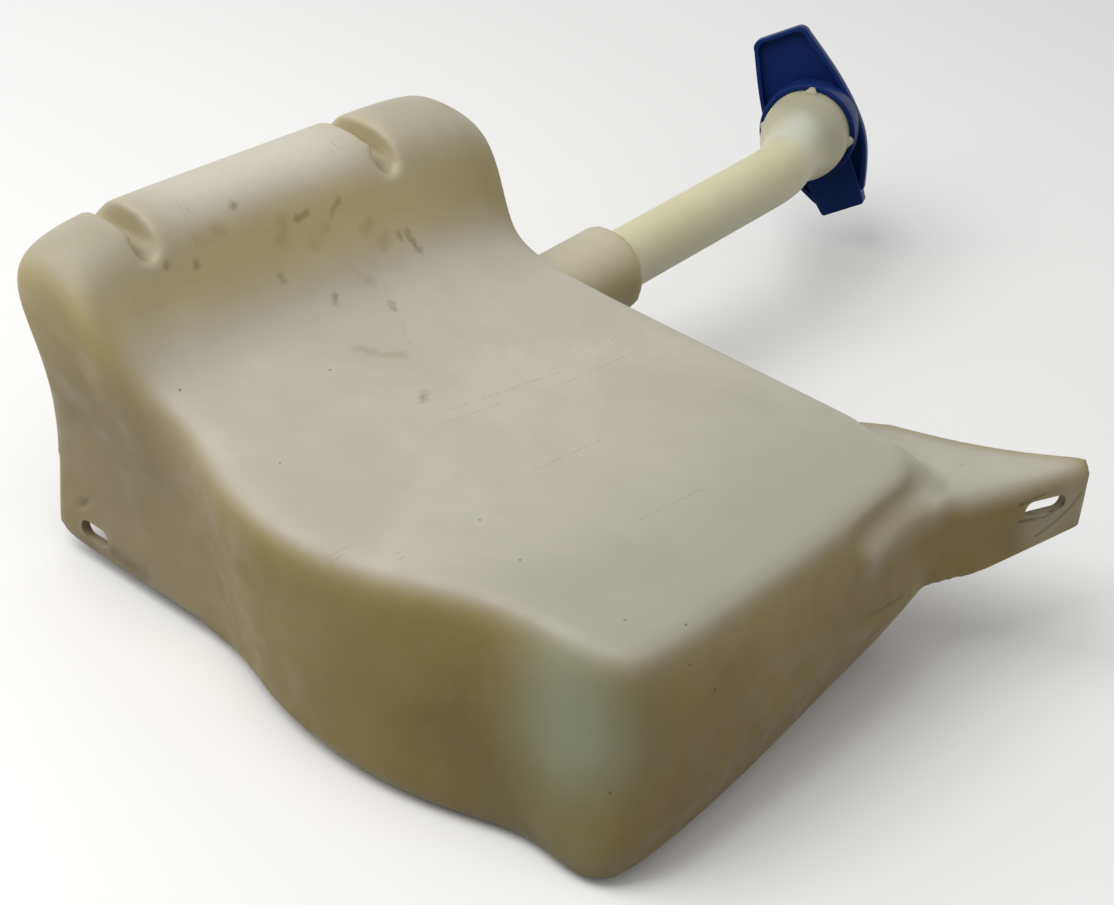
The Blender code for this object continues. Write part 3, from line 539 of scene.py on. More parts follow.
combine(tank, [ear], "UNION")
combine(tank, [pump_bay(), flange_trim()], "DIFFERENCE")
combine(tank, [socket, pump_seat], "UNION")
combine(tank, [notch("low_notch", -79), notch("high_notch", 55),
               bowl("low_bowl", (-115, -80.5, 146)), bowl("high_bowl", (-111.5, 53.5, 146))], "DIFFERENCE")
print("skin now has", len(tank.data.polygons), "faces")

# %% [markdown]
# A blown skin has no knife-sharp joins. Voxel remeshing turns everything into one even net of small
# quads. Plain smoothing would shrink the thin ear, so each round pulls a vertex towards its neighbours
# and pushes it back a little further: steps vanish and the thickness stays.

# %% Even net, smoothed without shrinking
def skin_arrays(mesh):
    """Places and normals of the vertices, and the two ends of each edge, as arrays."""
    co, normal = np.empty(len(mesh.vertices) * 3), np.empty(len(mesh.vertices) * 3)
    ends = np.empty(len(mesh.edges) * 2, int)
    mesh.vertices.foreach_get("co", co)
    mesh.vertices.foreach_get("normal", normal)
    mesh.edges.foreach_get("vertices", ends)
    return co.reshape(-1, 3), normal.reshape(-1, 3), ends.reshape(-1, 2)


def evened(values, ends, rounds, step=0.5):
    """Values drawn towards the mean of their neighbours, so many rounds."""
    shape = (-1,) + (1,) * (values.ndim - 1)
    counts = np.maximum(np.bincount(ends.ravel(), minlength=len(values)), 1).reshape(shape)
    for _ in range(rounds):
        total = np.zeros_like(values)
        np.add.at(total, ends[:, 0], values[ends[:, 1]])
        np.add.at(total, ends[:, 1], values[ends[:, 0]])
        values = values + step * (total / counts - values)
    return values


def place_skin(mesh, co):
    mesh.vertices.foreach_set("co", co.ravel())
    mesh.update()


def melt(piece, voxel_mm, rounds):
    remesh = piece.modifiers.new("even net", "REMESH")
    remesh.mode = "VOXEL"
    remesh.voxel_size = voxel_mm * MM
    evaluate(piece)
    co, _, ends = skin_arrays(piece.data)
    for _ in range(rounds):
        co = evened(evened(co, ends, 1, 0.5), ends, 1, -0.53)
    place_skin(piece.data, co)


melt(tank, voxel_mm=1.88, rounds=9)
print("even net:", len(tank.data.polygons), "quads")

# %% [markdown]
# In some places the plastic ran much softer: behind the deck's corner, where the shelf of the ear meets
# the wall, and at the foot of the socket. There the skin is evened out over many rounds, with a weight
# that fades to nothing at the edge of the place.

# %% Soft places
def soften(piece, rounds, places):
    """Evens the skin out near each (x, y, z, radius) in mm; the radius is where the weight is gone."""
    co, _, ends = skin_arrays(piece.data)
    weight = np.zeros(len(co))
    for x, y, z, radius in places:
        reach = np.linalg.norm(co / MM - np.array((x, y, z)), axis=1) / radius
        weight = np.maximum(weight, np.clip(1.5 * (1 - reach), 0, 1))
    weight = weight * weight * (3 - 2 * weight)
    co += weight[:, None] * (evened(co, ends, rounds) - co)
    place_skin(piece.data, co)
    return int((weight > 0.5).sum())


moved = soften(tank, 70, [
    (158, 100, 64, 20), (158, 110, 60, 15), (154, 88, 76, 16), (146, 96, 84, 17), (104, 118, 83, 13),
    (-48, 118, 66, 12), (-102, 118, 66, 12),
])
moved += soften(tank, 90, [(139, 107, 85, 20), (121, 116, 85, 20)])
moved += soften(tank, 8, [(-112, 49, 146, 9), (-115, -85, 146, 9)])
print("vertices softened:", moved)

# %% [markdown]
# The ear's shelf isn't quite level: towards its tip it climbs by 2.4 mm, and the middle of its back edge
# hangs a little, as thin plastic does when it cools.

# %% Lift the ear's tip, let its back edge hang
co, _, _ = skin_arrays(tank.data)
x, y, z = (co / MM).T
on_ear = (x > 60) * np.clip((z - 66) / 12, 0, 1)
from_back_edge = (x - 107) * 0.471 - (y - 140) * 0.882
along_back_edge = np.clip(((x - 107) * 0.882 + (y - 140) * 0.471) / 83, 0, 1)
hang = np.sin(np.pi * along_back_edge) * np.exp(-(from_back_edge / 16) ** 2)
co[:, 2] += MM * on_ear * (2.4 * np.clip((y - 122) / 54, 0, 1) ** 2 - 2.2 * hang)
place_skin(tank.data, co)
print("shelf climbs to z", round(float(co[(on_ear > 0) & (co[:, 1] > 0.165), 2].max()) / MM, 1), "mm")

# %% [markdown]
# ## Folds, seams and dents
# Where the mould pinched the bubble the skin shows shallow lines. Each is a polyline in space; the
# vertices near it are pushed in or pulled out along their normals, most in the middle of the line.

# %% Press lines into the skin
def distance_to_line(points, line):
    """Distance from each point to a polyline, and how far along it the nearest place is."""
    best = np.full(len(points), 1e9)
    place = np.zeros(len(points))
    for n, (a, b) in enumerate(zip(line, line[1:])):
        a, b = np.array(a, float), np.array(b, float)
        share = np.clip(((points - a) @ (b - a)) / ((b - a) @ (b - a)), 0, 1)
        distance = np.linalg.norm(points - (a + share[:, None] * (b - a)), axis=1)
        closer = distance < best
        best[closer] = distance[closer]
        place[closer] = (n + share[closer]) / (len(line) - 1)
    return best, place


def press(piece, line, width, depth, fade=0.2):
    """Moves the skin by depth mm along its normals near the line; a negative depth digs in."""
    co, normal, _ = skin_arrays(piece.data)
    distance, place = distance_to_line(co / MM, line)
    ends = np.clip(np.minimum(place, 1 - place) / fade, 0.0, 1.0)
    push = depth * np.exp(-(distance / width) ** 2) * ends * ends * (3 - 2 * ends)
    co += normal * push[:, None] * MM
    place_skin(piece.data, co)


PRESSED = [  # name, width mm, depth mm, points in mm
    ("front wall parting crease", 2.4, -0.7, [(162, 86, 46.4), (162.1, 79.4, 47.3), (162.8, 68.8, 48.7),
                                              (163.4, 53.6, 50.3), (163.8, 37.4, 51.9), (164.9, 24.1, 50.6),
                                              (166.5, -1.8, 48.4), (168.1, -27, 43.5)]),
    ("left fold of the end wall", 5.5, -0.8, [(-137.6, -106.3, 70.6), (-124.5, -106.3, 66.1), (-109.7, -105.7, 58),
                                              (-96.8, -104.9, 39.6), (-86.7, -104.8, 21.5)]),
    ("right fold of the end wall", 5.5, -0.7, [(-141.3, -106.9, 76.8), (-123.5, -107.2, 73.2),
                                               (-99.6, -106, 60.1), (-83.3, -105.4, 55.8), (-65.4, -104.4, 43)]),
    ("dish beside the slot", 5.0, -1.2, [(-126.5, -104.7, 29), (-124.5, -104.7, 27)]),
    ("pinch line of the ear", 1.8, -0.6, [(186, 177, 75), (184.7, 172, 68), (183.3, 168.3, 62.5),
                                          (180.8, 161.1, 56.3), (178.1, 154.1, 52.5), (174, 142, 49)]),
    ("ledge that runs on from the ear's shelf", 6.0, 3.4, [(154, 116, 79), (157, 98, 79), (158, 82, 78),
                                                           (158.5, 64, 76), (159, 44, 72)]),
    ("groove above that ledge", 5.5, -2.4, [(143, 112, 86), (150, 97, 88), (151.5, 79, 88), (153, 62, 86.5),
                                            (155, 40, 84)]),
]
for name, width, depth, line in PRESSED:
    press(tank, line, width, depth)
# the groove fades out on the deck's corner
soften(tank, 35, [(142, 109, 86, 18), (129, 116, 85, 17)])
print("lines pressed:", len(PRESSED))

# %% [markdown]
# The crisp edges come last, with Booleans on the finished skin: the socket's bore, the pump's hole, the
# two bolt slots and the cut along the lower edge of the ear, where the flash was trimmed off. Their rims
# are marked sharp by angle so that the shading doesn't smear round them.

# %% Bore, slots and trimmed edge
def circle(radius, steps=96):
    return [(radius * math.cos(a), radius * math.sin(a))
            for a in np.linspace(0, 2 * math.pi, steps, endpoint=False)]


trimmed_edge = [(-38.5, -60), (40, -60), (40, -14), (20.3, -14.6), (1.8, -18.8), (-25, -24.7), (-38.5, -26.2)]
combine(tank, [
    plate("ear_trim", trimmed_edge, -16, 9, matrix=ear_slot_frame),
    plate("ear_slot", stadium(21.5, 7.8), -20, 20, matrix=ear_slot_frame),
    plate("flange_slot", stadium(17, 8.5), -20, 20, matrix=flange_slot_frame),
    plate("pump_bore", circle(10.5, 64), -40, 20, matrix=pump_frame),
    plate("socket_bore", circle(BORE_R), -20, SOCKET_LENGTH + 10, matrix=socket_frame),
], "DIFFERENCE")
tank.data.shade_smooth()
tank.data.set_sharp_from_angle(angle=math.radians(50))
print("finished skin:", len(tank.data.polygons), "faces")

# %% [markdown]
# ## What age, with painted light and shade, does to the skin
# Light bleaches the faces that look up, dirt stays in hollows, and edges are rubbed paler; the same
# measures also paint light on the upward faces and shade on the walls and in the hollows. These depend
# on the skin's own form, so they are measured once, on the vertices, and stored as attributes
# that the material reads: how far the skin faces up, and how hollow or proud it is over about 5 mm.

# %% Measure the skin and store it
def measure(piece):
    co, normal, ends = skin_arrays(piece.data)
    proud = ((co - evened(co, ends, 20)) * normal).sum(axis=1) / MM
    facing = evened(normal[:, 2].copy(), ends, 40)
    for name, values in (("facing_up", facing), ("proud", proud)):
        attribute = piece.data.attributes.new(name, "FLOAT", "POINT")
        attribute.data.foreach_set("value", values.astype(np.float32))
    return facing, proud


facing, proud = measure(tank)
print("proud in mm from", round(float(proud.min()), 2), "to", round(float(proud.max()), 2))

# %% [markdown]
# ## Natural polyethylene
# The plastic has no pigment. It is milky and lets some light in, so its shadows look warm and olive and
# its broad top, bleached by the sun and dusted, looks a cool pale grey. A little subsurface scattering
# gives the milkiness. Every piece of it has the same fine grain and slow waves, so those come first.

# %% Grain, waves and milkiness
def milky_plastic(name, colour_of, milkiness=0.12, depth_mm=4):
    """Material of unpigmented plastic; colour_of(tree, point) builds its colour."""
    material = bpy.data.materials.new(name)
    material.use_nodes = True
    tree = material.node_tree
    tree.nodes.clear()
    point = add_node(tree, "ShaderNodeTexCoord", {}).outputs["Object"]
    # the mould's fine blast texture, drawn at 0.8 mm so that it shows
    grain = noise(tree, point, 0.8, detail=2.0)
    # slow waves from uneven cooling
    waves = noise(tree, point, 24, detail=1.0)
    fine = add_node(tree, "ShaderNodeBump", {"Height": grain, "Strength": 0.10, "Distance": 0.0003})
    both = add_node(tree, "ShaderNodeBump", {"Height": waves, "Strength": 0.30, "Distance": 0.0014,
                                            "Normal": fine.outputs[0]})
    # handled and dusty places are duller
    rough = mask(tree, noise(tree, point, 13, detail=4.0), 0.3, 0.7, 0.40, 0.60)
    shader = add_node(tree, "ShaderNodeBsdfPrincipled", {
        "Base Color": colour_of(tree, point), "Roughness": rough, "IOR": 1.52,
        "Specular IOR Level": 0.35, "Subsurface Weight": milkiness, "Subsurface Scale": depth_mm * MM,
        "Subsurface Radius": (1.0, 0.85, 0.5), "Normal": both.outputs[0]})
    add_node(tree, "ShaderNodeOutputMaterial", {"Surface": shader.outputs[0]})
    return material


print("milky_plastic is ready")

# %% [markdown]
# The tank's colour is built in three layers. First comes the plastic by how far it faces up: olive
# walls, straw-coloured slopes and the bleached top, where the darker walls are partly painted shade,
# the straw of the slopes is painted light through the thin ridge, and the top is partly painted light.
# Then come large, faint clouds: some where the wall is thicker, some where fluid has stood and left a
# green cast, and some that are painted light and shade, named one by one in the list.

# %% Colour of the bare tank
TINTS = [  # where, colour, share, reach mm, from and to in mm
    ("top", "92917F", 0.58, 125, (150, -70, 95), (140, 110, 92)),      # painted shade: darker front of the top
    ("top", "D2CCBC", 0.50, 34, (-135, -60, 154), (-135, 45, 154)),    # painted light on the crest
    ("top", "B9B6A4", 0.65, 42, (135, 125, 80), (170, 158, 82)),       # shelf of the ear
    ("walls", "A69D84", 0.50, 80, (-135, -104, 70), (-85, -105, 15)),  # paler end wall by the flange
    ("walls", "A69D84", 0.45, 55, (-75, -104, 92), (-50, -108, 82)),   # and beside the deck
    ("walls", "A3966A", 0.40, 62, (25, -131, 55), (-5, -128, 20)),     # bulge
    ("walls", "554D30", 0.50, 44, (96, -112, 36), (146, -106, -6)),     # painted shade in the recess and the low front corner
    ("walls", "7A7D58", 0.40, 44, (139, -103, 50), (140, -105, 10)),   # fainter green below it
    ("walls", "5F5634", 0.35, 70, (166, 60, 20), (165, -60, 12)),      # foot of the front wall
    ("walls", "98A58E", 0.58, 42, (131, -98, 84), (139, -103, 60)),    # green cast in the front corner
    ("all", "D6CB9C", 0.75, 40, (-75, 126, 64), (-75, 172, 67)),       # painted light through the thin socket's wall
    ("all", "C4BEA8", 0.45, 16, (157, 98, 80), (159, 60, 76)),         # ledge beside the ear
    ("all", "B9B29A", 0.60, 24, (185, 170, 64), (180, 158, 57)),       # painted light through the thin tip of the ear
    ("all", "A39B7C", 0.60, 56, (-126, 100, 150), (-122, 70, 152)),    # high end of the ridge
    ("all", "9D9679", 0.72, 48, (-131, -112, 146), (-128, -84, 152)),  # low end of the ridge
    ("all", "8E8560", 0.40, 60, (-118, 112, 110), (-96, 112, 118)),    # its shoulder
]


def tinted(tree, point, colour, where):
    for place, code, share, reach, start, end in TINTS:
        if place == where:
            near = stroke(tree, point, start, end, reach)
            colour = blend(tree, times(tree, near, share), colour, paint(code))
    return colour


def bare_colour(tree, point):
    facing_up = add_node(tree, "ShaderNodeAttribute", {}, attribute_name="facing_up").outputs["Fac"]
    clouds = mask(tree, noise(tree, point, 60, detail=3.0, distortion=0.4), 0.3, 0.7)
    height = add_node(tree, "ShaderNodeSeparateXYZ", {0: point}).outputs["Z"]
    # painted shade and light: the walls' olive and the top's pale grey, blended below by how far the skin faces up,
    # stand partly for shade and light as well as for bleaching
    walls = blend(tree, clouds, paint("8C7B46"), paint("7E6D3A"))
    # painted light: the light that shines through the thin, hollow ridge is painted in as a straw colour
    ridge = blend(tree, clouds, paint("BDAA68"), paint("B4A05E"))
    top = blend(tree, clouds, paint("B8B4A6"), paint("AFAB9B"))
    walls = tinted(tree, point, blend(tree, mask(tree, height, 0.060, 0.140), walls, ridge), "walls")
    top = tinted(tree, point, top, "top")
    return tinted(tree, point, blend(tree, mask(tree, facing_up, 0.15, 0.96), walls, top), "all")


print("tints:", len(TINTS))

# %% [markdown]
# Last come wear, dirt and painted shade: rubbed edges, dust and painted shade in the hollows, a speckled
# patch, the single smudges, scratches and specks, and a painted shade line by the flange's slot. Each is a stroke at
# its own place, and noise breaks up the longer ones.

# %% Marks on the tank
SMUDGES = [
    [(-108, 20, 137), (-106, 14, 133)], [(-108, 2, 137), (-108, -4, 136)], [(-97, 47, 117), (-96, 48, 115)],
    [(-96, 52, 117), (-91, 55, 109)], [(-21.9, -12.9, 95), (-16.4, -19.8, 95)],
    [(-99.4, -20.6, 119), (-97.6, -20.5, 116)], [(-88, 0.4, 106), (-85, -1.2, 104)],
    [(-76, 23, 100), (-73, 21.6, 99)], [(-118, -32, 148), (-117, -33, 147.5)],
    [(-111, -75, 137.5), (-110, -74.6, 136.5)], [(-108.4, -60.5, 133.6), (-108, -60.3, 132.8)],
]
FAINT = [
    [(-109, -12, 137), (-106, -15, 131)], [(-105, 10, 130), (-103, 2, 125)],
    [(-112.6, -44, 142), (-112.5, -56, 141.6)], [(-97, 39.5, 117), (-96, 37, 115.7)],
    [(-101, 33, 124), (-101, 31, 123)], [(-91, 16, 109), (-88, 21, 106)], [(-60, -12, 97), (-48, 0, 96)],
]
SCRATCHES = [
    [(32.7, -124.1, 89.8), (35, -119.9, 92.8), (36.7, -114.3, 94.2)], [(35.2, -123.5, 90), (37.5, -119.7, 92.6)],
    [(35.8, -116.5, 93.9), (42, -117.5, 93)], [(55.9, -109.1, 94.2), (54.8, -105.4, 94.7)],
    [(51.7, -106.9, 94.6), (52.6, -104.2, 94.8)], [(-66.9, 20.3, 98), (-58, 14.1, 97)],
    [(-65.8, 16.7, 98), (-49.8, 8.6, 96)], [(-5.2, -15.8, 95), (-0.9, 12.8, 95), (3.5, 42.3, 95)],
    [(0.1, -27.4, 95), (4.7, 3.5, 95)], [(10.6, 34.2, 95), (13.3, 83.1, 95)], [(-43.8, 38.2, 96), (-37.5, 63.1, 96)],
    [(47.4, -23.4, 95), (49.6, 13.8, 95)], [(97.7, -19.3, 95), (99.6, 15.6, 95)],
    [(-127.8, -52.2, 152.7), (-120.3, -53.4, 149.7)], [(-127.1, -55, 152.5), (-119.8, -56, 149.4)],
    [(-126.5, 29.7, 152.9), (-121.2, 30.5, 151.4)], [(-127.5, 34.3, 153.1), (-121.5, 34.4, 151.6)],
]
SPECKS = [
    (151.8, -58.2, 93.3), (136.3, -74.8, 95), (159.6, -63.4, 82), (136.6, 135.6, 80.2), (146.7, 135.5, 80.2),
    (-79.7, -94.3, 100.2), (-20.5, -96.1, 95.2), (163, -49.5, 65.7), (147.6, 98.9, 89.8), (150.1, 114.1, 80.4),
    (156.5, -98.1, 39.7), (85.4, -74.9, 95), (57.3, -66.3, 95), (-57, -32.6, 96.7),
]
PINCHED = [  # dirt that keeps to the mould's pinch lines
    [(186, 177, 75), (184.7, 172, 68), (183.3, 168.3, 62.5), (180.8, 161.1, 56.3), (178.1, 154.1, 52.5)],
    [(174.4, 143.1, 62.4), (178.5, 156.3, 61.6), (181.6, 166.2, 66)], [(173.8, 141.5, 71), (178, 153.5, 73.5)],
    [(162.1, 79.4, 47.3), (162.8, 68.8, 48.7), (163.4, 53.6, 50.3)],
]
# painted shade: a dark line along the crease below and beside the flange's slot
FLANGE_CREASE_SHADE = [
    [(-106, -104.8, 13.6), (-97, -104.7, 12.5), (-87, -104.7, 12.4)], [(-126, -103.2, 10.5), (-112, -102.9, 9)],
]


def worn_and_shaded_colour(tree, point):
    proud_mm = add_node(tree, "ShaderNodeAttribute", {}, attribute_name="proud").outputs["Fac"]
    colour = bare_colour(tree, point)
    # rubbed edges are a little paler, and the hollows are darker with dust and painted shade
    colour = blend(tree, mask(tree, proud_mm, 0.15, 0.9, 0.0, 0.08), colour, paint("CFCABA"))
    colour = blend(tree, mask(tree, proud_mm, -0.10, -0.9, 0.0, 0.40), colour, paint("857A52"))
    # dusty mottling that was wiped, and a patch of pale flecks
    mottle = noise(tree, point, 10, detail=6.0, roughness=0.62)
    colour = blend(tree, mask(tree, mottle, 0.42, 0.75, 0.0, 0.10), colour, paint("9A937C"))
    flecks = mask(tree, noise(tree, point, 1.3, detail=2.0), 0.52, 0.70)
    patch = stroke(tree, point, (-20, 38, 95), (6, 78, 95), 22)
    colour = blend(tree, times(tree, times(tree, flecks, patch), 0.28), colour, paint("D9D6CA"))
    soft = mask(tree, noise(tree, point, 8, detail=1.0), 0.15, 0.60)
    # smeared dirt and the painted shade by the flange have no straight outline, so the place that the strokes see
    # wanders by about 1 mm
    wander = add_node(tree, "ShaderNodeTexNoise", {
        "Vector": point, "Scale": 1 / (3.2 * MM), "Detail": 3.0, "Roughness": 0.6}).outputs["Color"]
    away = add_node(tree, "ShaderNodeVectorMath", {0: wander, 1: (0.5, 0.5, 0.5)}, operation="SUBTRACT").outputs[0]
    bent = add_node(tree, "ShaderNodeVectorMath", {0: away, 1: (5 * MM,) * 3, 2: point},
                    operation="MULTIPLY_ADD").outputs[0]
    broken = mask(tree, noise(tree, point, 2.2, detail=3.0), 0.38, 0.56)
    for lines, width, share, code, gaps, place in (
            (FAINT, 6.0, 0.34, "857640", soft, bent), (SMUDGES, 3.0, 0.55, "6F6339", soft, bent),
            (SCRATCHES, 0.7, 0.36, "857B5E", broken, point), (PINCHED, 1.4, 0.70, "453920", soft, point),
            (FLANGE_CREASE_SHADE, 6.0, 0.45, "544B38", soft, bent)):
        marks = times(tree, strokes(tree, place, lines, width), gaps)
        colour = blend(tree, times(tree, marks, share), colour, paint(code))
    specks = strokes(tree, point, [[place, (place[0], place[1], place[2] + 0.1)] for place in SPECKS], 0.9)
    return blend(tree, times(tree, specks, 0.85), colour, paint("332D20"))


# the tank's colour carries painted light and shade besides its wear and dirt
tank.data.materials.clear()
tank.data.materials.append(milky_plastic("weathered natural polyethylene with painted shade", worn_and_shaded_colour))
print("tank material nodes:", len(tank.data.materials[0].node_tree.nodes))

# %% [markdown]
# ## Filler neck
# The neck is a blow-moulded tube: a straight run out of the socket, an easy bend, and a flare to the
# mouth. Its line and radii are worked out point by point, and rings of vertices are carried along the
# line without twisting. The wall runs up the outside, over the lip and down the inside.

# %% Line of the neck
PIPE_R, PIPE_WALL, MOUTH_R = 14.6, 2.0, 22.6
MOUTH_AXIS = Vector((-0.402, 0.909, -0.112)).normalized()


def neck_line():
    start, elbow = neck_point(HIGH_Y + SOCKET_LENGTH - 42), neck_point(291)
    turn = neck_along.angle(MOUTH_AXIS)
    inward = neck_along.cross(MOUTH_AXIS).normalized().cross(neck_along)
    points = [(mix(start, elbow, s), PIPE_R) for s in np.linspace(0, 1, 12, endpoint=False)]
    for s in np.linspace(0, 1, 17):
        offset = neck_along * math.sin(turn * s) + inward * (1 - math.cos(turn * s))
        points.append((elbow + offset * 50 * MM, PIPE_R))
    bend_end = points[-1][0]
    for s in np.linspace(0, 1, 25):
        points.append((bend_end + MOUTH_AXIS * (11 + 46 * s) * MM,
                       mix(PIPE_R, MOUTH_R, (1 - math.cos(s * math.pi)) / 2)))
    mouth = bend_end + MOUTH_AXIS * 67 * MM
    points += [(mix(points[-1][0], mouth, s), MOUTH_R) for s in (0.4, 0.8)]
    return points, mouth


neck_points, mouth_centre = neck_line()
print("mouth centre in mm:", [round(v / MM, 1) for v in mouth_centre])

# %% Rings along the line
def tube(name, points, mouth, wall, segments=72):
    """Tube with its wall, closed over the lip at the mouth and square at its start."""
    lip = [(mouth - MOUTH_AXIS * 0.6 * MM, MOUTH_R), (mouth, MOUTH_R - 0.5), (mouth, MOUTH_R - wall + 0.5),
           (mouth - MOUTH_AXIS * 0.6 * MM, MOUTH_R - wall)]
    inside = [(p, r - wall) for p, r in reversed(points)]
    path = points + lip + inside
    directions = []
    for i, (p, _) in enumerate(points):
        ahead = points[min(i + 1, len(points) - 1)][0] - points[max(i - 1, 0)][0]
        directions.append(ahead.normalized())
    directions += [MOUTH_AXIS] * len(lip) + list(reversed(directions))
    bm = bmesh.new()
    rings = []
    for (centre, radius), direction in zip(path, directions):
        side = Vector((0, 0, 1)).cross(direction).normalized()
        up = direction.cross(side)
        rings.append([bm.verts.new(centre + (side * math.cos(a) + up * math.sin(a)) * radius * MM)
                      for a in np.linspace(0, 2 * math.pi, segments, endpoint=False)])
    for ring, following in zip(rings, rings[1:] + rings[:1]):
        for s in range(segments):
            n = (s + 1) % segments
            bm.faces.new([ring[s], ring[n], following[n], following[s]])
    return finish_mesh(bm, name)


neck = tube("filler_neck_tube", neck_points, mouth_centre, PIPE_WALL)


def neck_colour(tree, point):
    """Straw-coloured pipe with painted light on its underside, painted shade that turns its flare a cool grey, and a
    painted highlight at the bend.
    """
    clouds = mask(tree, noise(tree, point, 40, detail=2.0), 0.3, 0.7)
    colour = blend(tree, clouds, paint("D9D1AA"), paint("D0C89E"))
    # painted light: the light that comes through the thin wall is painted in, so the underside stays bright and
    # yellow
    facing = add_node(tree, "ShaderNodeNewGeometry", {}).outputs["Normal"]
    facing_up = add_node(tree, "ShaderNodeSeparateXYZ", {0: facing}).outputs["Z"]
    colour = blend(tree, mask(tree, facing_up, 0.75, -0.35), colour, paint("FFF2C2"))
    # painted shade over the flare
    flare = stroke(tree, point, (-98, 356, 74), (-106, 374, 69), 42)
    colour = blend(tree, times(tree, flare, 0.92), colour, paint("7C7F6F"))
    # painted highlight: one pale spot at the bend
    spot = stroke(tree, point, (-84, 325, 90), (-88, 338, 90), 18)
    colour = blend(tree, times(tree, spot, 0.6), colour, paint("D5D8CE"))
    specks = mask(tree, noise(tree, point, 7, detail=6.0, roughness=0.65), 0.55, 0.80, 0.0, 0.08)
    return blend(tree, specks, colour, paint("9A9478"))


neck.data.materials.append(milky_plastic("natural polyethylene", neck_colour, milkiness=0.75, depth_mm=10))
print("neck:", len(neck.data.polygons), "faces")

# %% [markdown]
# ## Barbs behind the mouth
# Four small barbs stop the cap's ring from sliding back. They repeat round the mouth, so Geometry Nodes
# place them: points on a circle, one wedge on each, turned outwards. Count, radius and turn are named
# inputs. The result is made plain mesh, because an export keeps no instances.

# %% Wedge that is repeated
def wedge():
    """One barb in the mouth's frame, on the +X side: a ramp that ends in a step."""
    bm = bmesh.new()
    side = [(-1.2, -5.3), (-1.2, -9.6), (0.2, -9.2), (2.2, -5.9), (2.4, -5.3)]
    low = [bm.verts.new((r * MM, -3.5 * MM * (1 - max(r, 0) / 3.4), h * MM)) for r, h in side]
    high = [bm.verts.new((r * MM, 3.5 * MM * (1 - max(r, 0) / 3.4), h * MM)) for r, h in side]
    bm.faces.new(low)
    bm.faces.new(list(reversed(high)))
    for n in range(len(side)):
        m = (n + 1) % len(side)
        bm.faces.new([low[m], low[n], high[n], high[m]])
    return finish_mesh(bm, "barb")


barb = wedge()
print("one barb has", len(barb.data.polygons), "faces")

# %% Geometry Nodes that place the barbs
def barb_tree(material):
    tree = bpy.data.node_groups.new("barbs round the mouth", "GeometryNodeTree")
    tree.interface.new_socket("Geometry", in_out="INPUT", socket_type="NodeSocketGeometry")
    for name, kind in (("Barb", "NodeSocketObject"), ("Count", "NodeSocketInt"),
                       ("Radius", "NodeSocketFloat"), ("Turn", "NodeSocketFloat")):
        tree.interface.new_socket(name, in_out="INPUT", socket_type=kind)
    tree.interface.new_socket("Geometry", in_out="OUTPUT", socket_type="NodeSocketGeometry")
    given = tree.nodes.new("NodeGroupInput").outputs
    ring = add_node(tree, "GeometryNodeMeshCircle", {"Vertices": given["Count"], "Radius": given["Radius"]})
    place = tree.nodes.new("GeometryNodeInputPosition").outputs[0]
    outwards = add_node(tree, "FunctionNodeAlignRotationToVector", {"Vector": place}, axis="X", pivot_axis="Z")
    shape = add_node(tree, "GeometryNodeObjectInfo", {"Object": given["Barb"]})
    barbs = add_node(tree, "GeometryNodeInstanceOnPoints", {
        "Points": ring.outputs["Mesh"], "Instance": shape.outputs["Geometry"],
        "Rotation": outwards.outputs[0]})
    spin = add_node(tree, "ShaderNodeCombineXYZ", {"Z": given["Turn"]})
    turned = add_node(tree, "GeometryNodeTransform", {
        "Geometry": barbs.outputs[0], "Rotation": spin.outputs[0]})
    real = add_node(tree, "GeometryNodeRealizeInstances", {"Geometry": turned.outputs[0]})
    coated = add_node(tree, "GeometryNodeSetMaterial", {"Geometry": real.outputs[0], "Material": material})
    add_node(tree, "NodeGroupOutput", {"Geometry": coated.outputs[0]})
    return tree


CAP_LONG_AXIS = Vector((0.502, 0.116, -0.857))
mouth_frame = frame_at(mouth_centre, (CAP_LONG_AXIS - MOUTH_AXIS * CAP_LONG_AXIS.dot(MOUTH_AXIS)).normalized(),
                       MOUTH_AXIS)
barbs = bpy.data.objects.new("mouth_barbs", bpy.data.meshes.new("mouth_barbs"))
bpy.context.scene.collection.objects.link(barbs)
placing = barbs.modifiers.new("placing", "NODES")
placing.node_group = barb_tree(neck.data.materials[0])
sockets = {s.name: s.identifier for s in placing.node_group.interface.items_tree if s.in_out == "INPUT"}
for name, value in (("Barb", barb), ("Count", 4), ("Radius", MOUTH_R * MM), ("Turn", math.radians(-152))):
    placing[sockets[name]] = value
evaluate(barbs)
barbs.data.transform(mouth_frame)
bpy.data.objects.remove(barb, do_unlink=True)
print("barbs:", len(barbs.data.polygons), "faces")

# %% [markdown]
# ## Cap
# The cap is moulded in navy polypropylene: a ring that grips the mouth, a tab that carries the film
# hinge, and a lid like a shallow tray, widest over the mouth, with a finger tab at its far end. They are
# turned and raised from their outlines in the mouth's frame, with small rounds on every edge.

# %% Ring with its hinge tab
HINGE_REACH, LID_HEIGHT, RING_TOP = 41.3, 6.2, 9.0


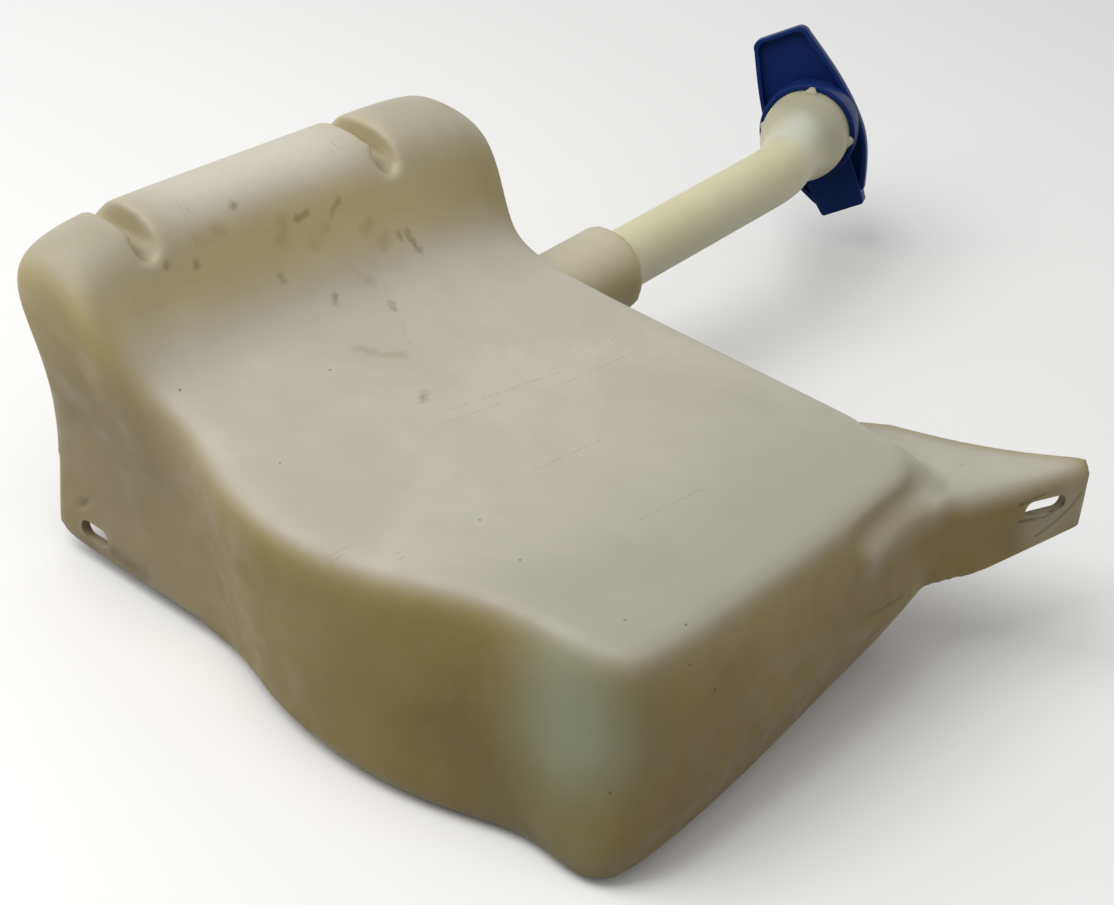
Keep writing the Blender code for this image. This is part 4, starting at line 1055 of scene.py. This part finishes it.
def cap_ring():
    inner, outer, lip = MOUTH_R + 0.3, MOUTH_R + 2.9, MOUTH_R - PIPE_WALL
    profile = rounded([(outer, RING_TOP), (outer, -5), (inner, -5), (inner, 0.3), (lip, 0.3), (lip, RING_TOP)],
                      0.7, steps=3)
    ring = lathe("cap_ring_blue", profile, mouth_frame)
    arm = plate("arm", rounded([(20.4, -14), (HINGE_REACH, -12.75), (48.3, -11.75), (48.3, 11.75),
                                (HINGE_REACH, 12.75), (20.4, 14)], 1.5), RING_TOP - 2.4, RING_TOP,
                edge=0.5, matrix=mouth_frame)
    block = plate("block", rounded([(41.6, -12.75), (48.3, -11.75), (48.3, 11.75), (41.6, 12.75)], 1.2),
                  RING_TOP - 1.2, RING_TOP + 0.3 + LID_HEIGHT, edge=0.6, matrix=mouth_frame)
    return combine(ring, [arm, block], "UNION")


ring = cap_ring()
print("cap ring:", len(ring.data.polygons), "faces")

# %% [markdown]
# The lid's outline follows a quarter sine from the hinge to the widest place and another to the finger
# tab. Cutting a slightly smaller outline out of its mouth side leaves the tray's rim.

# %% Lid
def lid_plan(inset, steps=20):
    half_finger, half_hinge, half_middle = 15.6 - inset, 14 - inset, 25.25 - inset
    hinge_x, finger_x = HINGE_REACH - inset, -52 + inset + 5
    side = []
    for s in np.linspace(0, 1, steps, endpoint=False):
        side.append((mix(hinge_x, 6, s), mix(half_hinge, half_middle, math.sin(s * math.pi / 2))))
    for s in np.linspace(0, 1, steps, endpoint=False):
        side.append((mix(6, finger_x, s), mix(half_finger, half_middle, math.cos(s * math.pi / 2))))
    for a in np.radians(np.linspace(90, 180, 8)):
        side.append((finger_x + 5 * math.cos(a), half_finger - 5 * (1 - math.sin(a))))
    return side + [(x, -y) for x, y in reversed(side)]


def cap_lid():
    level = RING_TOP + 0.3 + LID_HEIGHT
    lid = plate("cap_lid_blue", lid_plan(0), level - LID_HEIGHT, level, edge=0.7, matrix=mouth_frame)
    tray = plate("tray", lid_plan(2), level - LID_HEIGHT - 10, level - 2, matrix=mouth_frame)
    outer = MOUTH_R - PIPE_WALL - 2.0
    low = level - LID_HEIGHT - 8
    plug = lathe("plug", rounded([(outer, level - 1), (outer, low), (outer - 1.8, low), (outer - 1.8, level - 1)],
                                 0.5, steps=3), mouth_frame)
    combine(lid, [tray], "DIFFERENCE")
    return combine(lid, [plug], "UNION")


lid = cap_lid()
print("lid:", len(lid.data.polygons), "faces")

# %% [markdown]
# Navy polypropylene has a satin moulded face. Handling leaves greyish scuffs on it, and dust sits in the
# corners. The colour stays nearly even, so the life comes from the roughness and the fine bump.

# %% Material of the cap
def navy_polypropylene():
    material = bpy.data.materials.new("navy polypropylene")
    material.use_nodes = True
    tree = material.node_tree
    tree.nodes.clear()
    point = add_node(tree, "ShaderNodeTexCoord", {}).outputs["Object"]
    # slow change of depth across the moulding
    colour = blend(tree, noise(tree, point, 18, detail=2.0), paint("102559"), paint("142D68"))
    # greyish scuffs from hands
    scuffs = mask(tree, noise(tree, point, 6, detail=6.0, roughness=0.7), 0.58, 0.76, 0.0, 0.25)
    colour = blend(tree, scuffs, colour, paint("2C4076"))
    # spark-eroded mould grain
    grain = noise(tree, point, 0.6, detail=2.0)
    bump = add_node(tree, "ShaderNodeBump", {"Height": grain, "Strength": 0.15, "Distance": 0.0002})
    shader = add_node(tree, "ShaderNodeBsdfPrincipled", {
        "Base Color": colour, "Roughness": mask(tree, scuffs, 0.0, 0.25, 0.36, 0.55),
        "IOR": 1.49, "Specular IOR Level": 0.08, "Normal": bump.outputs[0]})
    add_node(tree, "ShaderNodeOutputMaterial", {"Surface": shader.outputs[0]})
    return material


navy = navy_polypropylene()
for piece in (ring, lid):
    piece.data.shade_smooth()
    piece.data.set_sharp_from_angle(angle=math.radians(40))
    piece.data.materials.clear()
    piece.data.materials.append(navy)
print("cap material nodes:", len(navy.node_tree.nodes))

# %% [markdown]
# ## Rubber
# The pump's grommet and the neck's seal are small black rubber rings whose solids already have their
# shape. They keep their solids and only get a material: matt, slightly dusty, with a fine grain.

# %% Material of the rubber pieces
def black_rubber():
    material = bpy.data.materials.new("black nitrile rubber")
    material.use_nodes = True
    tree = material.node_tree
    tree.nodes.clear()
    point = add_node(tree, "ShaderNodeTexCoord", {}).outputs["Object"]
    # grey bloom and dust
    dust = mask(tree, noise(tree, point, 4, detail=4.0), 0.5, 0.75, 0.0, 0.5)
    colour = blend(tree, dust, paint("1D1D1E"), paint("3B3935"))
    bump = add_node(tree, "ShaderNodeBump", {"Height": noise(tree, point, 0.5), "Strength": 0.2,
                                            "Distance": 0.0002})
    shader = add_node(tree, "ShaderNodeBsdfPrincipled", {
        "Base Color": colour, "Roughness": mask(tree, dust, 0.0, 0.5, 0.62, 0.85),
        "Normal": bump.outputs[0]})
    add_node(tree, "ShaderNodeOutputMaterial", {"Surface": shader.outputs[0]})
    return material


rubber = black_rubber()
for node in ("neck_seal", "pump_grommet"):
    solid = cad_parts[node]
    solid.data.materials.clear()
    solid.data.materials.append(rubber)
print("rubber on neck_seal and pump_grommet")

# %% [markdown]
# ## Floor, light and camera
# The floor is plain and pale. Rays from the camera and reflections see it white, while the light that it
# throws back on the tank is that of a duller bench, so the walls keep their depth and the shadow stays.

# %% Floor
def bench_material():
    material = bpy.data.materials.new("pale bench")
    material.use_nodes = True
    tree = material.node_tree
    tree.nodes.clear()
    ray = add_node(tree, "ShaderNodeLightPath", {}).outputs
    seen = greater(tree, greater(tree, ray["Is Camera Ray"], ray["Is Glossy Ray"]), ray["Is Transmission Ray"])
    shader = add_node(tree, "ShaderNodeBsdfDiffuse", {"Color": blend(tree, seen, paint("96948C"), paint("F9F9F8"))})
    add_node(tree, "ShaderNodeOutputMaterial", {"Surface": shader.outputs[0]})
    return material


bm = bmesh.new()
bmesh.ops.create_grid(bm, x_segments=4, y_segments=4, size=4.0)
bmesh.ops.translate(bm, verts=bm.verts, vec=(0, 0, -0.0003))
floor_mesh = bpy.data.meshes.new("floor")
bm.to_mesh(floor_mesh)
bm.free()
floor = bpy.data.objects.new("floor", floor_mesh)
floor.data.materials.append(bench_material())
bpy.context.scene.collection.objects.link(floor)
print("floor lies at z", round(floor_mesh.vertices[0].co.z / MM, 2), "mm")

# %% [markdown]
# One large soft lamp hangs over the tank, a little behind its ridge, so that the top and the crest are
# the brightest and the front walls fall off. The world adds an even fill, and is white to the camera.

# %% Lamps and world
def soft_lamp(name, place, target, size, power):
    lamp = bpy.data.lights.new(name, "AREA")
    lamp.shape = "SQUARE"
    lamp.size = size
    lamp.energy = power
    item = bpy.data.objects.new(name, lamp)
    item.location = place
    item.rotation_euler = (Vector(target) - Vector(place)).to_track_quat("-Z", "Y").to_euler()
    bpy.context.scene.collection.objects.link(item)
    return item


soft_lamp("overhead softbox", (-0.42, -0.52, 1.16), (-0.02, 0.0, 0.05), 1.2, 13.5)
world = bpy.data.worlds.new("studio")
bpy.context.scene.world = world
world.use_nodes = True
world.node_tree.nodes.clear()
ray = add_node(world.node_tree, "ShaderNodeLightPath", {}).outputs
seen = greater(world.node_tree, greater(world.node_tree, ray["Is Camera Ray"], ray["Is Glossy Ray"]),
               ray["Is Transmission Ray"])
level = add_node(world.node_tree, "ShaderNodeMapRange", {"Value": seen, "To Min": 0.50, "To Max": 1.0})
sky = add_node(world.node_tree, "ShaderNodeBackground", {"Color": paint("FFFFFF"), "Strength": level.outputs[0]})
add_node(world.node_tree, "ShaderNodeOutputWorld", {"Surface": sky.outputs[0]})
bpy.context.scene.view_settings.view_transform = "Standard"

# %% [markdown]
# The camera stands in front of the low corner and looks down at about 31 degrees, with a lens of 87 mm,
# as fitted from the vanishing points of the photograph's edges.

# %% Camera
camera = bpy.data.objects.new("camera", bpy.data.cameras.new("camera"))
camera.data.sensor_width = 36
camera.data.lens = 87.253
camera.data.clip_start = 0.01
right, down = Vector((0.7514, 0.6528, 0.0956)), Vector((0.4062, -0.3436, -0.8468))
ahead = Vector((-0.52, 0.6751, -0.5233))
camera.matrix_world = (Matrix.Translation((0.6015, -0.7299, 0.6555))
                       @ Matrix((right, -down, -ahead)).transposed().to_4x4())
bpy.context.scene.collection.objects.link(camera)
bpy.context.scene.camera = camera
print("camera looks down", round(math.degrees(math.asin(-ahead.z)), 1), "degrees")

# %% [markdown]
# ## Hand the pieces over
# Each new piece hides the solid that it stands for and rides on the body that it moves with. The neck,
# its barbs, the ring and the tank are one body; the lid turns by itself.

# %% Ride on the bodies
for piece, body, slot, nodes in (
        (tank, "reservoir", "natural_plastic", ["tank"]),
        (neck, "reservoir", "natural_plastic", ["filler_neck"]),
        (barbs, "reservoir", "natural_plastic", []),
        (ring, "reservoir", "blue_plastic", ["cap_ring"]),
        (lid, "lid", "blue_plastic", ["cap_lid"])):
    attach(piece, body)
    if nodes:
        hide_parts(*nodes)
    triangles = sum(len(p.vertices) - 2 for p in piece.data.polygons)
    print(piece.name, "rides on", body, "with", triangles, "triangles")
